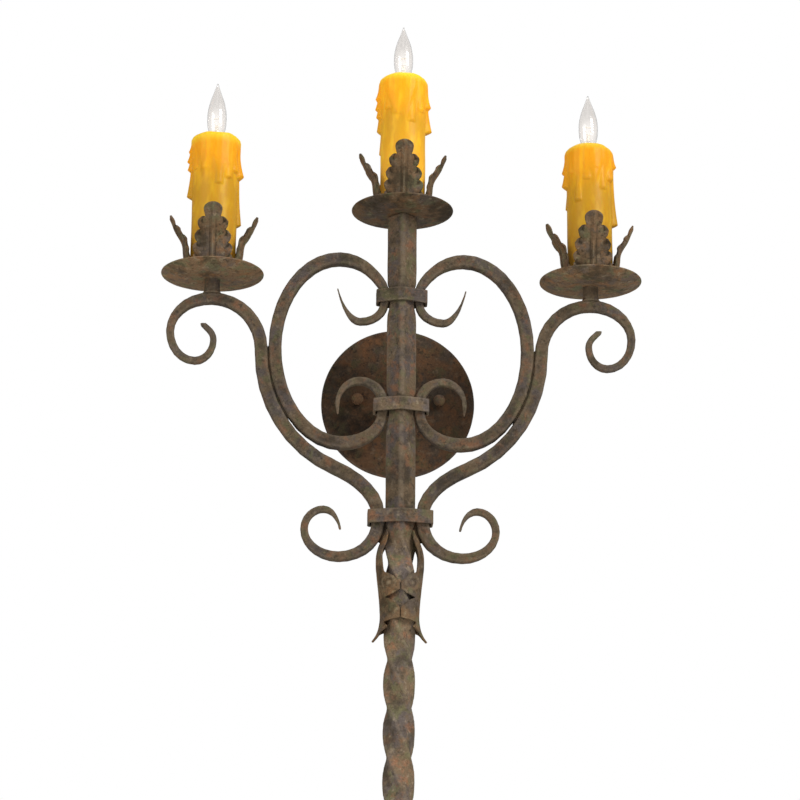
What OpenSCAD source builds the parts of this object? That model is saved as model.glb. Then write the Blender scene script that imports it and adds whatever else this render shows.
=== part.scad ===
// Three-light torch wall sconce: forged bar with a twisted tail, two S-scroll
// arms, two C-scrolls, strap collars, leaf clasps and candle lights.
// Millimetres. The origin is the centre of the wall bracket's back face, on the
// wall. +Z is up, the front faces -Y and +X is to the right seen from the front.

/* [Shaft] */
// Side of the square bar of the shaft
shaft_side = 25.4; // [20:0.2:30]
// Half width of the shaft over its knocked-down corners
shaft_half = 16; // [15:0.1:17]
// Half width of the shaft where a collar bites
waist_half = 13.4; // [13:0.1:14.4]
// Half depth of the shaft inside a collar
ridge_half = 14.3; // [13.6:0.1:15.6]
// Half width of the twisted stretch over its corners
twist_half = 17.15; // [16.4:0.05:17.6]
// Distance from the wall to the axis of the shaft
shaft_out = 92; // [84:1:120]
// Height of the top of the shaft
shaft_top = 184.8; // [175:0.1:230]
// Height at which the twist starts
twist_top = -176; // [-182:1:-172]
// Length of the twisted stretch
twist_length = 408; // [260:1:480]
// Number of quarter turns in the twist
quarter_turns = 8; // [4:1:9]
// Length of the drawn-out point under the twist
point_length = 72; // [40:1:110]
// Half width of the blunt end of the point
point_half = 3.2; // [2:0.1:6]

/* [Scroll bars] */
// Thickness of the scroll bar
bar = 14.2; // [12:0.1:15]
// Share of the bar's thickness that its edges are hammered off by
edge_share = 0.13; // [0.08:0.01:0.2]
// Thickness of a C-scroll in the top collar
bar_top_collar = 9.6; // [9:0.1:10.4]
// Thickness of a C-scroll in the middle collar
bar_mid_collar = 11.6; // [11:0.1:12.6]
// Thickness of a thorn tip
thorn = 2.4; // [2:0.1:4]
// Distance from the axis to the middle of a C-scroll's widest stretch
scroll_reach = 134.5; // [125:0.5:140]
// Distance from the axis to the middle of a side light
arm_reach = 203; // [198:0.5:215]
// Height of the crest of an arm, at the middle of its bar
arm_crest = 87; // [82:0.5:92]
// Gap between an arm and the C-scroll that it lies against
weld_gap = 0.5; // [0.3:0.1:1.5]

/* [Collars] */
// Height of the top collar
collar_top_z = 92; // [88:0.5:96]
// Height of the middle collar
collar_mid_z = -30; // [-34:0.5:-27]
// Height of the bottom collar
collar_low_z = -152; // [-154:0.5:-149]
// Width of the collar strap, along the shaft
strap_width = 15; // [10:0.5:16]
// Thickness of the collar strap
strap = 3; // [2:0.1:4]
// Clearance between a piece and what it seats on
seat = 0.3; // [0.2:0.05:0.4]

/* [Leaf clasps] */
// Thickness of the sheet of a leaf clasp
clasp_sheet = 2; // [1.4:0.1:2.4]
// Gap between the two leaf clasps where their lobes meet
clasp_gap = 0.8; // [0.5:0.1:3]
// How far a clasp leaf's pointed tip stands from the axis
clasp_flare = 29.5; // [26:0.5:34]

/* [Canopy] */
// Diameter of the round backplate
canopy_d = 167; // [150:1:190]
// Depth of the backplate
canopy_depth = 16; // [14:0.5:24]
// Thickness of the backplate's sheet
canopy_sheet = 1.6; // [1:0.1:2.5]
// Radius of the backplate's rounded edge
canopy_round = 7; // [4:0.5:9]
// How far the backplate's face falls from its middle to that edge
canopy_crown = 1.6; // [0.8:0.1:2.4]
// Width of the backplate's rim on the wall
canopy_rim = 4; // [3:0.5:8]
// Distance from the middle of a box screw slot to the canopy stud beside it
stud_step = 9.525; // [9:0.025:13]
// Diameter of a canopy stud
stud_d = 4; // [3:0.1:4.6]
// Diameter of a canopy knob
knob_d = 13; // [11:0.5:18]
// Diameter of the post that carries the shaft
post_d = 16; // [14:0.5:22]
// Diameter of the post's flange on the backplate
flange_d = 28; // [26:1:34]
// Thickness of that flange
flange = 3; // [2:0.5:4]
// Diameter of the post's thread behind the canopy
post_thread_d = 10; // [8:0.5:12]
// Diameter of the spigot that enters the shaft
spigot_d = 8; // [6:0.5:10]
// Length of the spigot inside the shaft
spigot_length = 12; // [8:0.5:18]

/* [Wall bracket] */
// How far the wall bracket runs past the middle of a stud
bracket_end = 8.55; // [6:0.05:14]
// Width of the wall bracket
bracket_width = 20; // [16:0.5:28]
// Thickness of the wall bracket
bracket_sheet = 2.5; // [2:0.1:4]
// Distance between the middles of the two box screw slots
slot_spacing = 69.85; // [66:0.05:72]
// Length of a box screw slot, end to end
slot_length = 9; // [6:0.5:10]
// Width of a box screw slot
slot_width = 4.8; // [4:0.1:5.4]

/* [Lights] */
// Height of the rim of the side pans
pan_side_z = 116.4; // [113:0.1:124]
// Diameter of a drip pan
pan_d = 110; // [100:1:124]
// Depth of a drip pan from its rim to its floor
pan_depth = 6.4; // [4:0.1:9]
// Thickness of a drip pan's sheet
pan_sheet = 2; // [1.4:0.1:2.6]
// Radius of the flat floor of a drip pan
pan_floor_r = 30; // [29:0.5:36]
// Diameter of the threaded nipple
nipple_d = 10; // [9:0.1:11]
// Length of the nipple below a pan
nipple_below = 12; // [8:0.5:13]
// Bore of the nipple
nipple_bore = 6.5; // [5:0.1:7]
// Diameter of the riser between an arm and its pan
riser_d = 16.6; // [15:0.1:20]
// Width of the riser's foot along the arm
riser_foot = 23; // [20:0.5:26]

/* [Leaf cups] */
// Height of a cup leaf above the rim of its pan
leaf_height = 62; // [56:0.5:70]
// Radius of the cup where a leaf turns up
leaf_base_r = 27.5; // [27:0.5:32]
// Radius of the cup at the tips of its leaves
leaf_tip_r = 47; // [42:0.5:52]
// Width of a cup leaf over its lowest lobes
leaf_width = 42; // [34:0.5:43]
// Thickness of the cup's sheet
leaf_sheet = 1.8; // [1.4:0.1:2.4]
// How far a leaf's midrib stands proud
leaf_rib = 1.2; // [0.4:0.1:2]

/* [Candles] */
// Height of a candle cover
candle_height = 158; // [146:0.5:170]
// Radius of the candle cover below its drips
candle_r = 24.3; // [22:0.1:26]
// Thickness of the run wax over the candle's upper part
wax = 3; // [1:0.1:3.6]
// How far the largest drips stand proud
drip = 4.6; // [2:0.1:6]
// Radius of the candle cover's bore
candle_bore_r = 12; // [11.8:0.1:14]

/* [Lamps] */
// Largest radius of the bulb's glass
bulb_r = 10.5; // [9.6:0.1:11.4]
// Height of the bulb's tip above the top of the candle
bulb_above = 61.5; // [56:0.5:74]
// Wall of the bulb's glass
glass_wall = 0.8; // [0.6:0.1:1]
// Radius of the lamp base
base_r = 5.95; // [5.8:0.05:6]
// Radius of the socket body
socket_r = 9.5; // [9.2:0.1:10]
// Height of the socket body
socket_height = 32; // [28:0.5:38]
// How far the socket's mouth lies below the candle's top
socket_sunk = 5; // [3:0.5:8]

/* [Hidden] */

// Colours of the finishes
iron = "#6b5644";
dark_iron = "#4a3626";
steel = "#b9bcbd";
brass = "#b5924c";
amber = "#f0a52a";
clear = "#e8eef2";
black = "#2b2b2b";

$fn = 64;

// ---------------------------------------------------------------- geometry

// Unit vector of a heading in the X-Z plane, in degrees from +X
function along(heading) = [cos(heading), sin(heading)];
// Value that runs smoothly from a to b as t goes from 0 to 1
function ease(a, b, t) = a + (b - a) * (3 * t * t - 2 * t * t * t);
// Point on a cubic curve with its four control points
function cubic(a, b, c, d, t) =
    a * pow(1 - t, 3) + 3 * b * t * pow(1 - t, 2) + 3 * c * t * t * (1 - t) + d * pow(t, 3);
// Direction of that curve at t
function cubic_run(a, b, c, d, t) =
    (b - a) * pow(1 - t, 2) + 2 * (c - b) * t * (1 - t) + (d - c) * t * t;

// One bend of a scroll, between two knots [x, z, heading, thickness]. It is an
// elliptic arc whose tangents cross at the corner, or a straight run.
// Each result is [x, z, direction x, direction z, thickness].
function bend(p, q, steps) =
    let (a = [p[0], p[1]], d = [q[0], q[1]], u = along(p[2]), v = along(q[2]),
         turn = q[2] - p[2], cross = u[0] * v[1] - u[1] * v[0],
         gap = d - a, reach = norm(gap) / 3,
         k = abs(turn) < 1 ? 1 : 4 / 3 * tan(abs(turn) / 4) / tan(abs(turn) / 2),
         m = abs(turn) < 1 ? reach : k * (gap[0] * v[1] - gap[1] * v[0]) / cross,
         n = abs(turn) < 1 ? reach : k * (u[0] * gap[1] - u[1] * gap[0]) / cross,
         b = a + u * m, c = d - v * n)
    [for (i = [0:steps - 1])
        let (t = i / steps, s = cubic(a, b, c, d, t), r = cubic_run(a, b, c, d, t))
        [s[0], s[1], r[0] / norm(r), r[1] / norm(r), ease(p[3], q[3], t)]];

// The whole run through a list of knots, each with its number of steps as fifth value
function run(knots) = concat(
    [for (i = [0:len(knots) - 2]) each bend(knots[i], knots[i + 1], knots[i + 1][4])],
    let (e = knots[len(knots) - 1]) [[e[0], e[1], cos(e[2]), sin(e[2]), e[3]]]);

// A closed solid through rings of equally many points, with flat ends. Seen
// from the far end of the loft, each ring runs clockwise.
module loft(rings) {
    n = len(rings[0]);
    m = len(rings);
    polyhedron(
        points = [for (ring = rings) each ring],
        faces = concat(
            [for (j = [0:m - 2], i = [0:n - 1])
                let (a = j * n + i, b = j * n + (i + 1) % n) [a, b, b + n]],
            [for (j = [0:m - 2], i = [0:n - 1])
                let (a = j * n + i, b = j * n + (i + 1) % n) [a, b + n, a + n]],
            [[for (i = [0:n - 1]) n - 1 - i]],
            [[for (i = [0:n - 1]) (m - 1) * n + i]]));
}

// Hammered bar of square section along a run in the plane of the shaft
module forged_bar(path) {
    loft([for (s = path)
        let (w = s[4] / 2, e = s[4] * edge_share, side = [-s[3], s[2]])
        [for (c = [[w, w - e], [w - e, w], [e - w, w], [-w, w - e],
                   [-w, e - w], [e - w, -w], [w - e, -w], [w, e - w]])
            [s[0] + side[0] * c[0], -shaft_out + c[1], s[1] + side[1] * c[0]]]]);
}

// ------------------------------------------------------------------- shaft

// Distance from the axis to the sharp corner of the bar
corner = shaft_side / sqrt(2);
strap_half = strap_width / 2;
quarter_turn = twist_length / quarter_turns;
twist_end = twist_top - twist_length;
shaft_low = twist_end - point_length;
// Steps in one quarter turn of the twist
turn_steps = 6;

// Section of the bar on its corner, cut off at its half width and half depth
function bar_section(wide, deep, grow = 1) =
    let (w = wide * grow, d = deep * grow, q = corner * grow)
    [[w, w - q], [w, q - w], [q - d, d], [d - q, d], [-w, q - w], [-w, w - q], [d - q, -d], [q - d, -d]];

// One ring of the shaft, turned about its axis
function shaft_ring(z, wide, deep, turned = 0, grow = 1) =
    [for (p = bar_section(wide, deep, grow))
        [p[0] * cos(turned) - p[1] * sin(turned),
         p[0] * sin(turned) + p[1] * cos(turned) - shaft_out, z]];

// Over and under a collar's strap: where the shaft starts to draw in, where it
// is drawn in half way, and where its ridge dips into the collar
waist_over = [18.5, 7, 2.5];
waist_under = [22, 12, 3];
// How far the ridge rises where it leaves a collar
ridge_rise = 0.6;

// Rings through a collar at height z, from above to below
function waist_rings(z, wide) =
    [for (s = [[strap_half + waist_over[0], shaft_half, shaft_half],
               [strap_half + waist_over[1], ease(wide, shaft_half, 0.75), shaft_half],
               [strap_half + waist_over[2], wide, ridge_half + ridge_rise],
               [strap_half, wide, ridge_half], [-strap_half, wide, ridge_half],
               [-strap_half - waist_under[2], wide, ridge_half + ridge_rise],
               [-strap_half - waist_under[1], ease(wide, shaft_half, 0.7), shaft_half],
               [-strap_half - waist_under[0], shaft_half, shaft_half]])
        shaft_ring(z + s[0], s[1], s[2])];

// Bevel on the top end of the shaft: its width and its height
top_bevel = [0.8, 1.5];
// Room under the nipple and under the spigot in their bores
bore_room = 2;

module shaft() {
    color(iron) difference() {
        loft(concat(
            [shaft_ring(shaft_top, shaft_half - top_bevel[0], shaft_half - top_bevel[0]),
             shaft_ring(shaft_top - top_bevel[1], shaft_half, shaft_half)],
            waist_rings(collar_top_z, waist_half),
            waist_rings(collar_mid_z, waist_half),
            [shaft_ring(collar_low_z + strap_half + 8, shaft_half, shaft_half),
             shaft_ring(collar_low_z + strap_half, shaft_half, ridge_half),
             shaft_ring(collar_low_z - strap_half, shaft_half - 0.6, ridge_half),
             shaft_ring(collar_low_z - strap_half - 6, waist_half, ridge_half),
             shaft_ring(collar_low_z - strap_half - 11, waist_half + 1.2, ridge_half + 1)],
            [for (i = [0:quarter_turns * turn_steps])
                shaft_ring(twist_top - i * quarter_turn / turn_steps, twist_half, twist_half,
                    90 * i / turn_steps)],
            [for (i = [1:6])
                let (t = i / 6, g = 1 - (1 - point_half / twist_half) * (1 - cos(90 * t)))
                shaft_ring(twist_end - point_length * t * 0.97, twist_half, twist_half, 0, g)],
            [shaft_ring(shaft_low, twist_half, twist_half, 0, point_half / twist_half * 0.6)]));
        translate([0, -shaft_out, shaft_top - nipple_below - bore_room])
            cylinder(r = nipple_d / 2 + seat, h = nipple_below + bore_room + 1);
        translate([0, -shaft_out + shaft_half + 1, 0]) rotate([90, 0, 0])
            cylinder(r = spigot_d / 2 + seat, h = spigot_length + bore_room);
    }
}

// ----------------------------------------------------------------- scrolls

scroll_x_top = waist_half + seat + bar_top_collar / 2;
scroll_x_mid = waist_half + seat + bar_mid_collar / 2;
arm_x_low = shaft_half + seat + bar / 2;
arm_x_wide = scroll_reach + bar + weld_gap;
// Height at which an arm runs straight up beside its C-scroll
arm_wide_z = 30;
// Thickness of the arm at its crest
crest_bar = 12.6;
// How far a bar runs straight below and above the middle of its collar
grip_top = [6, 7];
grip_mid = [7, 3];
grip_low = [5, 4];
// Crest of a C-scroll's lower curl: out from its bar in the collar, up from the collar
curl_crest = [24.7, 27.8];

// Right C-scroll from the thorn under the top collar to the thorn over the middle one
scroll_run = run([
    [69, collar_top_z + 10, -103, thorn],
    [scroll_x_top + 26, collar_top_z - 28, -180, 8.4, 8],
    [scroll_x_top, collar_top_z - grip_top[0], -270, bar_top_collar, 6],
    [scroll_x_top, collar_top_z + grip_top[1], -270, bar_top_collar, 1],
    [scroll_x_top + 10, collar_top_z + 24, -310, 11.4, 4],
    [66.5, collar_top_z + 42.5, -360, bar, 5],
    [scroll_reach, 35, -450, bar, 10],
    [63, collar_mid_z - 41.5, -540, bar, 10],
    [scroll_x_mid, collar_mid_z - grip_mid[0], -630, bar_mid_collar, 7],
    [scroll_x_mid, collar_mid_z + grip_mid[1], -630, bar_mid_collar, 1],
    [scroll_x_mid + curl_crest[0], collar_mid_z + curl_crest[1], -720, 9, 6],
    [67.3, collar_mid_z + 3, -810, 5.4, 6],
    [66.8, collar_mid_z - 10, -815, thorn, 3]]);

// Right arm from the curl beside the bottom collar to the nib under the side pan
arm_run = run([
    [arm_x_low + 39, collar_low_z - 14, 82, thorn + 0.8],
    [arm_x_low + 57, collar_low_z + 8.5, 0, 8, 6],
    [arm_x_low + 76.8, collar_low_z - 13.5, -90, 8.6, 6],
    [arm_x_low + 41, collar_low_z - 42.4, -180, 10.8, 7],
    [arm_x_low, collar_low_z - grip_low[0], -270, bar, 7],
    [arm_x_low, collar_low_z + grip_low[1], -270, bar, 1],
    [69, collar_low_z + 53.5, -336.5, bar, 6],
    [arm_x_wide, arm_wide_z, -270, bar, 8],
    [arm_reach, arm_crest, -360, crest_bar, 8],
    [arm_reach + 43.3, arm_crest - 37.4, -450, 9, 7],
    [arm_reach + 16.3, arm_crest - 70.5, -540, 8.4, 6],
    [arm_reach - 3, arm_crest - 46.7, -630, 7.6, 6],
    [arm_reach + 1.6, arm_crest - 36, -674, 7, 3],
    [arm_reach + 8.6, arm_crest - 30, -660, 6, 2],
    [arm_reach + 10.2, arm_crest - 27.4, -640, 3.6, 1]]);

module arm() { forged_bar(arm_run); }
module scroll() { forged_bar(scroll_run); }
module arm_left() { color(iron) mirror([1, 0, 0]) arm(); }
module arm_right() { color(iron) arm(); }
module scroll_left() { color(iron) mirror([1, 0, 0]) scroll(); }
module scroll_right() { color(iron) scroll(); }

// Radius of the arm's outer face at its crest
crest_r = pow(arm_reach - arm_x_wide, 2) / (arm_crest - arm_wide_z) + crest_bar / 2;
// Height of the arm's outer face at its crest, under the rim of the side pan
crest_z = arm_crest + crest_bar / 2 - pan_side_z;

// How far the riser's flared foot reaches down over the crest
saddle = 2;

// Riser between an arm and its pan: round, flared along the arm, saddled on its crest
module riser() {
    r = riser_d / 2;
    flare = riser_foot / 2 - r;
    color(iron) difference() {
        intersection() {
            rotate_extrude() polygon(concat(
                [[0, under_z], [r, under_z]],
                [for (a = [0:15:75]) [r + flare * (1 - cos(a)), crest_z + 1 + flare * 1.5 * (1 - sin(a))]],
                [[r + flare, crest_z - saddle], [0, crest_z - saddle]]));
            translate([-riser_foot, -r, crest_z - saddle - 1])
                cube([2 * riser_foot, riser_d, under_z - crest_z + saddle + 2]);
        }
        translate([0, riser_d, crest_z - crest_r]) rotate([90, 0, 0])
            cylinder(r = crest_r + seat, h = 2 * riser_d, $fn = 128);
        translate([0, 0, under_z - nipple_below - 2 * seat])
            cylinder(r = nipple_d / 2 + seat, h = nipple_below + 2 * seat + 1);
    }
}

// ----------------------------------------------------------------- collars

// Half width of the flat on the collar's front and back, over the shaft's ridge
ridge_flat = 3.8;

// Loop round two bars and the shaft, in plan: outer face of the bars, half
// depth of the bars
module collar_loop(reach, deep) {
    ridge = ridge_half + seat;
    polygon([[reach, deep], [ridge_flat, ridge], [-ridge_flat, ridge], [-reach, deep],
             [-reach, -deep], [-ridge_flat, -ridge], [ridge_flat, -ridge], [reach, -deep]]);
}

module collar(z, reach, deep) {
    translate([0, -shaft_out, z - strap_half]) linear_extrude(strap_width) difference() {
        offset(delta = strap, chamfer = true) collar_loop(reach, deep);
        collar_loop(reach, deep);
    }
}

module collar_top() {
    color(iron) collar(collar_top_z, scroll_x_top + bar_top_collar / 2 + 1.3, bar_top_collar / 2 + 0.6);
}
module collar_middle() {
    color(iron) collar(collar_mid_z, scroll_x_mid + bar_mid_collar / 2 + 1.3, bar_mid_collar / 2 + 0.6);
}
module collar_bottom() {
    color(iron) collar(collar_low_z, arm_x_low + bar / 2 + 1, bar / 2 + seat);
}

// ------------------------------------------------------------- leaf clasps

// Rows of the right clasp leaf: [height from the twist's top, distance of its
// outer face from the axis at the side, half angle that it wraps round the shaft]
clasp_rows = [
    [11, waist_half + seat + clasp_sheet + 0.4, 13], [6, 17.4, 20], [1, 20, 27], [-9, 23.9, 37],
    [-19, 25.6, 42], [-30, 25.6, 43], [-37.5, 24.9, 45], [-39.5, 24.7, 60], [-41.5, 24.5, 71],
    [-46, 24, 79], [-51, 23.4, 87], [-54.5, 23, 80], [-57.5, 22.7, 68], [-59.5, 22.5, 53],
    [-62, 22.2, 37], [-66, 21.9, 46], [-70, 21.6, 57], [-75, 21.3, 71], [-80, 21.1, 87],
    [-82.5, 21.1, 77], [-84.5, 21.1, 58], [-87, 21.3, 38], [-92, 22, 27], [-100, 24.5, 16],
    [-108, clasp_flare, 2.5]];
clasp_columns = 6;

// Point of the clasp leaf: the section is an ellipse that hugs the shaft at the
// front and back and bows out at the side
function clasp_point(row, u, sink) =
    let (side = row[1] - sink, front = min(row[1], twist_half + 2 * seat + clasp_sheet) - sink,
         most = 90 - clasp_gap / 2 / front * 180 / PI, a = min(row[2], most) * u)
    [side * cos(a), front * sin(a) - shaft_out, twist_top + row[0]];

module clasp() {
    loft([for (row = clasp_rows) concat(
        [for (i = [0:clasp_columns]) clasp_point(row, 2 * i / clasp_columns - 1, 0)],
        [for (i = [0:clasp_columns]) clasp_point(row, 1 - 2 * i / clasp_columns, clasp_sheet)])]);
}
module leaf_clasp_left() { color(iron) mirror([1, 0, 0]) clasp(); }
module leaf_clasp_right() { color(iron) clasp(); }

// ------------------------------------------------------------ canopy, post

// Turns a shape made along +Z so that it runs out from the wall, along -Y
module from_wall() { rotate([90, 0, 0]) children(); }

// Height of the middle of the backplate's rounded edge over the wall
canopy_edge_z = canopy_depth - 1.25 * canopy_crown - canopy_round;

// Points of the crowned face at depth sunk, for shares t of the way to the edge
function canopy_face_arc(sunk, shares) =
    [for (t = shares) [(canopy_d / 2 - canopy_round - 1) * t, canopy_depth - sunk - canopy_crown * t * t]];
// Points of the rounded edge at depth sunk
function canopy_edge_arc(sunk, angles) =
    [for (a = angles) [canopy_d / 2 - canopy_round, canopy_edge_z]
        + (canopy_round - sunk) * along(a)];

module backplate() {
    r = canopy_d / 2;
    s = canopy_sheet;
    color(dark_iron) from_wall() difference() {
        rotate_extrude($fn = 96) polygon(concat(
            canopy_face_arc(0, [0:0.25:1]),
            canopy_edge_arc(0, [75:-15:0]),
            [[r, 0], [r - canopy_rim, 0], [r - canopy_rim, s], [r - s, s]],
            canopy_edge_arc(s, [0:15:75]),
            canopy_face_arc(s, [1:-0.25:0])));
        translate([0, 0, canopy_depth - s - 1]) cylinder(r = post_thread_d / 2 + seat, h = s + 2);
        for (x = [-1, 1]) translate([x * stud_spacing / 2, 0, canopy_depth - s - 2])
            cylinder(r = stud_d / 2 + seat + 0.2, h = s + 4);
    }
}

// Distance from the wall to the canopy's front, with the seat clearance
canopy_face = canopy_depth + seat;
post_nut_height = 4;
post_nut_flats = 15;
// Length of thread that stands past the post's nut
thread_spare = 3;

module standoff_post() {
    color(iron) from_wall() {
        translate([0, 0, canopy_face]) cylinder(d1 = flange_d, d2 = flange_d - 2, h = flange);
        translate([0, 0, canopy_face]) cylinder(d = post_d, h = shaft_out - shaft_half - canopy_face);
        translate([0, 0, canopy_depth - canopy_sheet - post_nut_height - thread_spare])
            cylinder(d = post_thread_d, h = canopy_sheet + post_nut_height + thread_spare + 1);
        translate([0, 0, shaft_out - shaft_half - 1]) cylinder(d = spigot_d, h = spigot_length + 1);
    }
}

// Six-sided nut, given its width over the flats, its height and its bore
module nut(flats, height, bore_r) {
    difference() {
        cylinder(d = flats / cos(30), h = height, $fn = 6);
        translate([0, 0, -1]) cylinder(r = bore_r, h = height + 2);
    }
}

module post_nut() {
    color(steel) from_wall() translate([0, 0, canopy_depth - canopy_sheet - seat - post_nut_height])
        nut(post_nut_flats, post_nut_height, post_thread_d / 2 + seat);
}

stud_spacing = slot_spacing + 2 * stud_step;
bracket_length = stud_spacing + 2 * bracket_end;
// Ground screw: its place on the bracket, radius, head and slot
ground_x = 18;
ground_r = 1.8;
ground_head_r = 4;
ground_head = 2.4;
driver_slot = 1;

module wall_bracket() {
    color(steel) from_wall() difference() {
        translate([-bracket_length / 2, -bracket_width / 2, 0])
            cube([bracket_length, bracket_width, bracket_sheet]);
        for (x = [-1, 1]) translate([x * stud_spacing / 2, 0, -1])
            cylinder(r = stud_d / 2 + seat, h = bracket_sheet + 2);
        for (x = [-1, 1], e = [-1, 1])
            translate([x * slot_spacing / 2 + e * (slot_length - slot_width) / 2, 0, -1])
                cylinder(r = slot_width / 2, h = bracket_sheet + 2);
        for (x = [-1, 1])
            translate([x * slot_spacing / 2 - (slot_length - slot_width) / 2, -slot_width / 2, -1])
                cube([slot_length - slot_width, slot_width, bracket_sheet + 2]);
        translate([ground_x, 0, -1]) cylinder(r = ground_r + seat, h = bracket_sheet + 2);
    }
}

// Length of a stud in its knob, and the nut that locks it on the bracket
stud_grip = 6;
stud_nut_d = 8;
stud_nut_height = 2.6;
// Share of a knob's diameter at which the middle of its ball lies
knob_rise = 0.42;
// Share of a knob's diameter that its neck takes
knob_neck = 0.8;

module canopy_studs() {
    color(steel) from_wall() for (x = [-1, 1]) translate([x * stud_spacing / 2, 0, 0]) {
        cylinder(d = stud_d, h = canopy_face + stud_grip);
        translate([0, 0, bracket_sheet + seat]) cylinder(d = stud_nut_d, h = stud_nut_height, $fn = 6);
    }
}

module canopy_knobs() {
    rise = knob_d * knob_rise;
    color(dark_iron) from_wall() for (x = [-1, 1]) translate([x * stud_spacing / 2, 0, canopy_face])
        difference() {
            union() {
                translate([0, 0, rise]) sphere(d = knob_d);
                cylinder(d = knob_d * knob_neck, h = rise);
            }
            translate([0, 0, -knob_d]) cylinder(d = 2 * knob_d, h = knob_d);
            translate([0, 0, -1]) cylinder(d = stud_d + 2 * seat, h = stud_grip + 1.5);
        }
}

module ground_screw() {
    color(brass) from_wall() translate([ground_x, 0, 0]) {
        translate([0, 0, 0.2]) cylinder(r = ground_r, h = bracket_sheet + 1);
        translate([0, 0, bracket_sheet + seat]) difference() {
            cylinder(r = ground_head_r, h = ground_head);
            translate([-ground_head_r - 1, -driver_slot / 2, ground_head - driver_slot])
                cube([2 * ground_head_r + 2, driver_slot, driver_slot + 1]);
        }
    }
}

// ------------------------------------------------------------------ lights
// Each light is drawn round its own axis, with the rim of its pan at height 0.

// Floor of the pan, underside of the pan, top of the cup's disc
floor_z = -pan_depth;
under_z = floor_z - pan_sheet;
disc_z = floor_z + leaf_sheet;
pan_nut_height = 4;
pan_nut_flats = 14;
// Length of the nipple above its nut
nipple_above = 9;
nipple_top = disc_z + pan_nut_height + nipple_above;
candle_foot = disc_z + seat;
candle_top = candle_foot + candle_height;
socket_top = candle_top - socket_sunk;
socket_foot = socket_top - socket_height;

module at_left() { translate([-arm_reach, -shaft_out, pan_side_z]) children(); }
module at_centre() { translate([0, -shaft_out, shaft_top - under_z]) children(); }
module at_right() { translate([arm_reach, -shaft_out, pan_side_z]) children(); }

// Height of the pan's upper face at radius r, from its flat floor to its rim
function dish(r) = floor_z + pan_depth * pow((r - pan_floor_r) / (pan_d / 2 - pan_floor_r), 1.6);

module pan() {
    rim = pan_d / 2;
    steps = 8;
    color(iron) rotate_extrude($fn = 96) polygon(concat(
        [[nipple_d / 2 + seat, floor_z]],
        [for (i = [0:steps]) let (r = pan_floor_r + (rim - pan_floor_r - 0.7) * i / steps) [r, dish(r)]],
        [[rim, -0.6], [rim, -1.4]],
        [for (i = [steps:-1:0])
            let (r = pan_floor_r + (rim - pan_floor_r - 1) * i / steps) [r, dish(r) - pan_sheet]],
        [[nipple_d / 2 + seat, under_z]]));
}

// Lobes of a cup leaf, from its foot to its tip, as shares of the leaf's height
// and width: [foot of the lobe, top of the lobe, width at the notch, width at the lobe]
leaf_lobes = [[0, 0.27, 0.8, 1], [0.27, 0.51, 0.72, 0.89], [0.51, 0.74, 0.62, 0.78], [0.74, 1, 0.42, 0.47]];
// Side view of a cup leaf: [share of its height, share of the way from base to tip radius]
leaf_side = [[0, 0], [0.2, 0.03], [0.4, 0.12], [0.6, 0.3], [0.8, 0.59], [1, 1]];
// Radius at which a leaf curves round the candle
leaf_curve = 46;
leaf_columns = 4;
// Radius of the cup's disc, which the feet of the leaves run into
disc_r = leaf_base_r - 6;
// Foot of a leaf: [height over the pan's floor, inwards from the turn-up, share of the leaf's width]
leaf_foot = [[0.05, 8.5, 0.26], [0.15, 1.9, 0.3], [2.8, 0.3, 0.36]];

// Half width of the leaf at share u of lobe k
function lobe_half(k, u) =
    let (l = leaf_lobes[k], tip = k == len(leaf_lobes) - 1,
         w = tip && u > 0.45 ? l[3] * sqrt(max(0.02, 1 - pow((u - 0.45) / 0.58, 2)))
             : l[2] + (l[3] - l[2]) * sqrt(max(0, 1 - pow(u / 0.6 - 1, 2))))
    leaf_width / 2 * (u > 0.6 && !tip
        ? l[2] + (leaf_lobes[k + 1][2] - l[2]) * (u - 0.6) / 0.4
          + (l[3] - l[2]) * sqrt(max(0, 1 - pow((u - 0.6) / 0.4, 2)))
        : w);

// Rows of the leaf's outer face from its foot on the disc to its tip:
// [height, radius, half width]
leaf_rows = concat(
    [for (f = leaf_foot) [floor_z + f[0], leaf_base_r - f[1], leaf_width * f[2]]],
    [for (k = [0:len(leaf_lobes) - 1], u = k == len(leaf_lobes) - 1 ? [0, 0.3, 0.6, 0.85, 1]
            : [0, 0.3, 0.65, 0.9])
        let (l = leaf_lobes[k], t = l[0] + (l[1] - l[0]) * u)
        [t * leaf_height, leaf_base_r + (leaf_tip_r - leaf_base_r) * lookup(t, leaf_side), lobe_half(k, u)]]);

// Point of row j at share v of its half width, sunk into the sheet
function leaf_point(j, v, sink) =
    let (row = leaf_rows[j], x = row[2] * v,
         back = leaf_rows[max(0, j - 1)], ahead = leaf_rows[min(len(leaf_rows) - 1, j + 1)],
         rise = ahead[0] - back[0], out = ahead[1] - back[1], span = norm([rise, out]),
         rib = row[0] > 0 ? leaf_rib * (1 - min(1, 2 * abs(v))) : 0,
         curl = x * x / (2 * leaf_curve))
    [x, curl - rib - row[1] + sink * rise / span, row[0] + sink * out / span];

module cup_leaf() {
    loft([for (j = [0:len(leaf_rows) - 1]) concat(
        [for (i = [0:leaf_columns]) leaf_point(j, 1 - 2 * i / leaf_columns, 0)],
        [for (i = [0:leaf_columns]) leaf_point(j, 2 * i / leaf_columns - 1, leaf_sheet)])]);
}

module leaf_cup() {
    color(iron) difference() {
        union() {
            translate([0, 0, floor_z]) cylinder(r = disc_r, h = leaf_sheet);
            for (a = [0:90:270]) rotate([0, 0, a]) cup_leaf();
        }
        translate([0, 0, floor_z - 2]) cylinder(r = nipple_d / 2 + seat, h = leaf_sheet + 4);
        translate([0, 0, disc_z]) cylinder(r = disc_r, h = pan_depth);
    }
}

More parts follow.
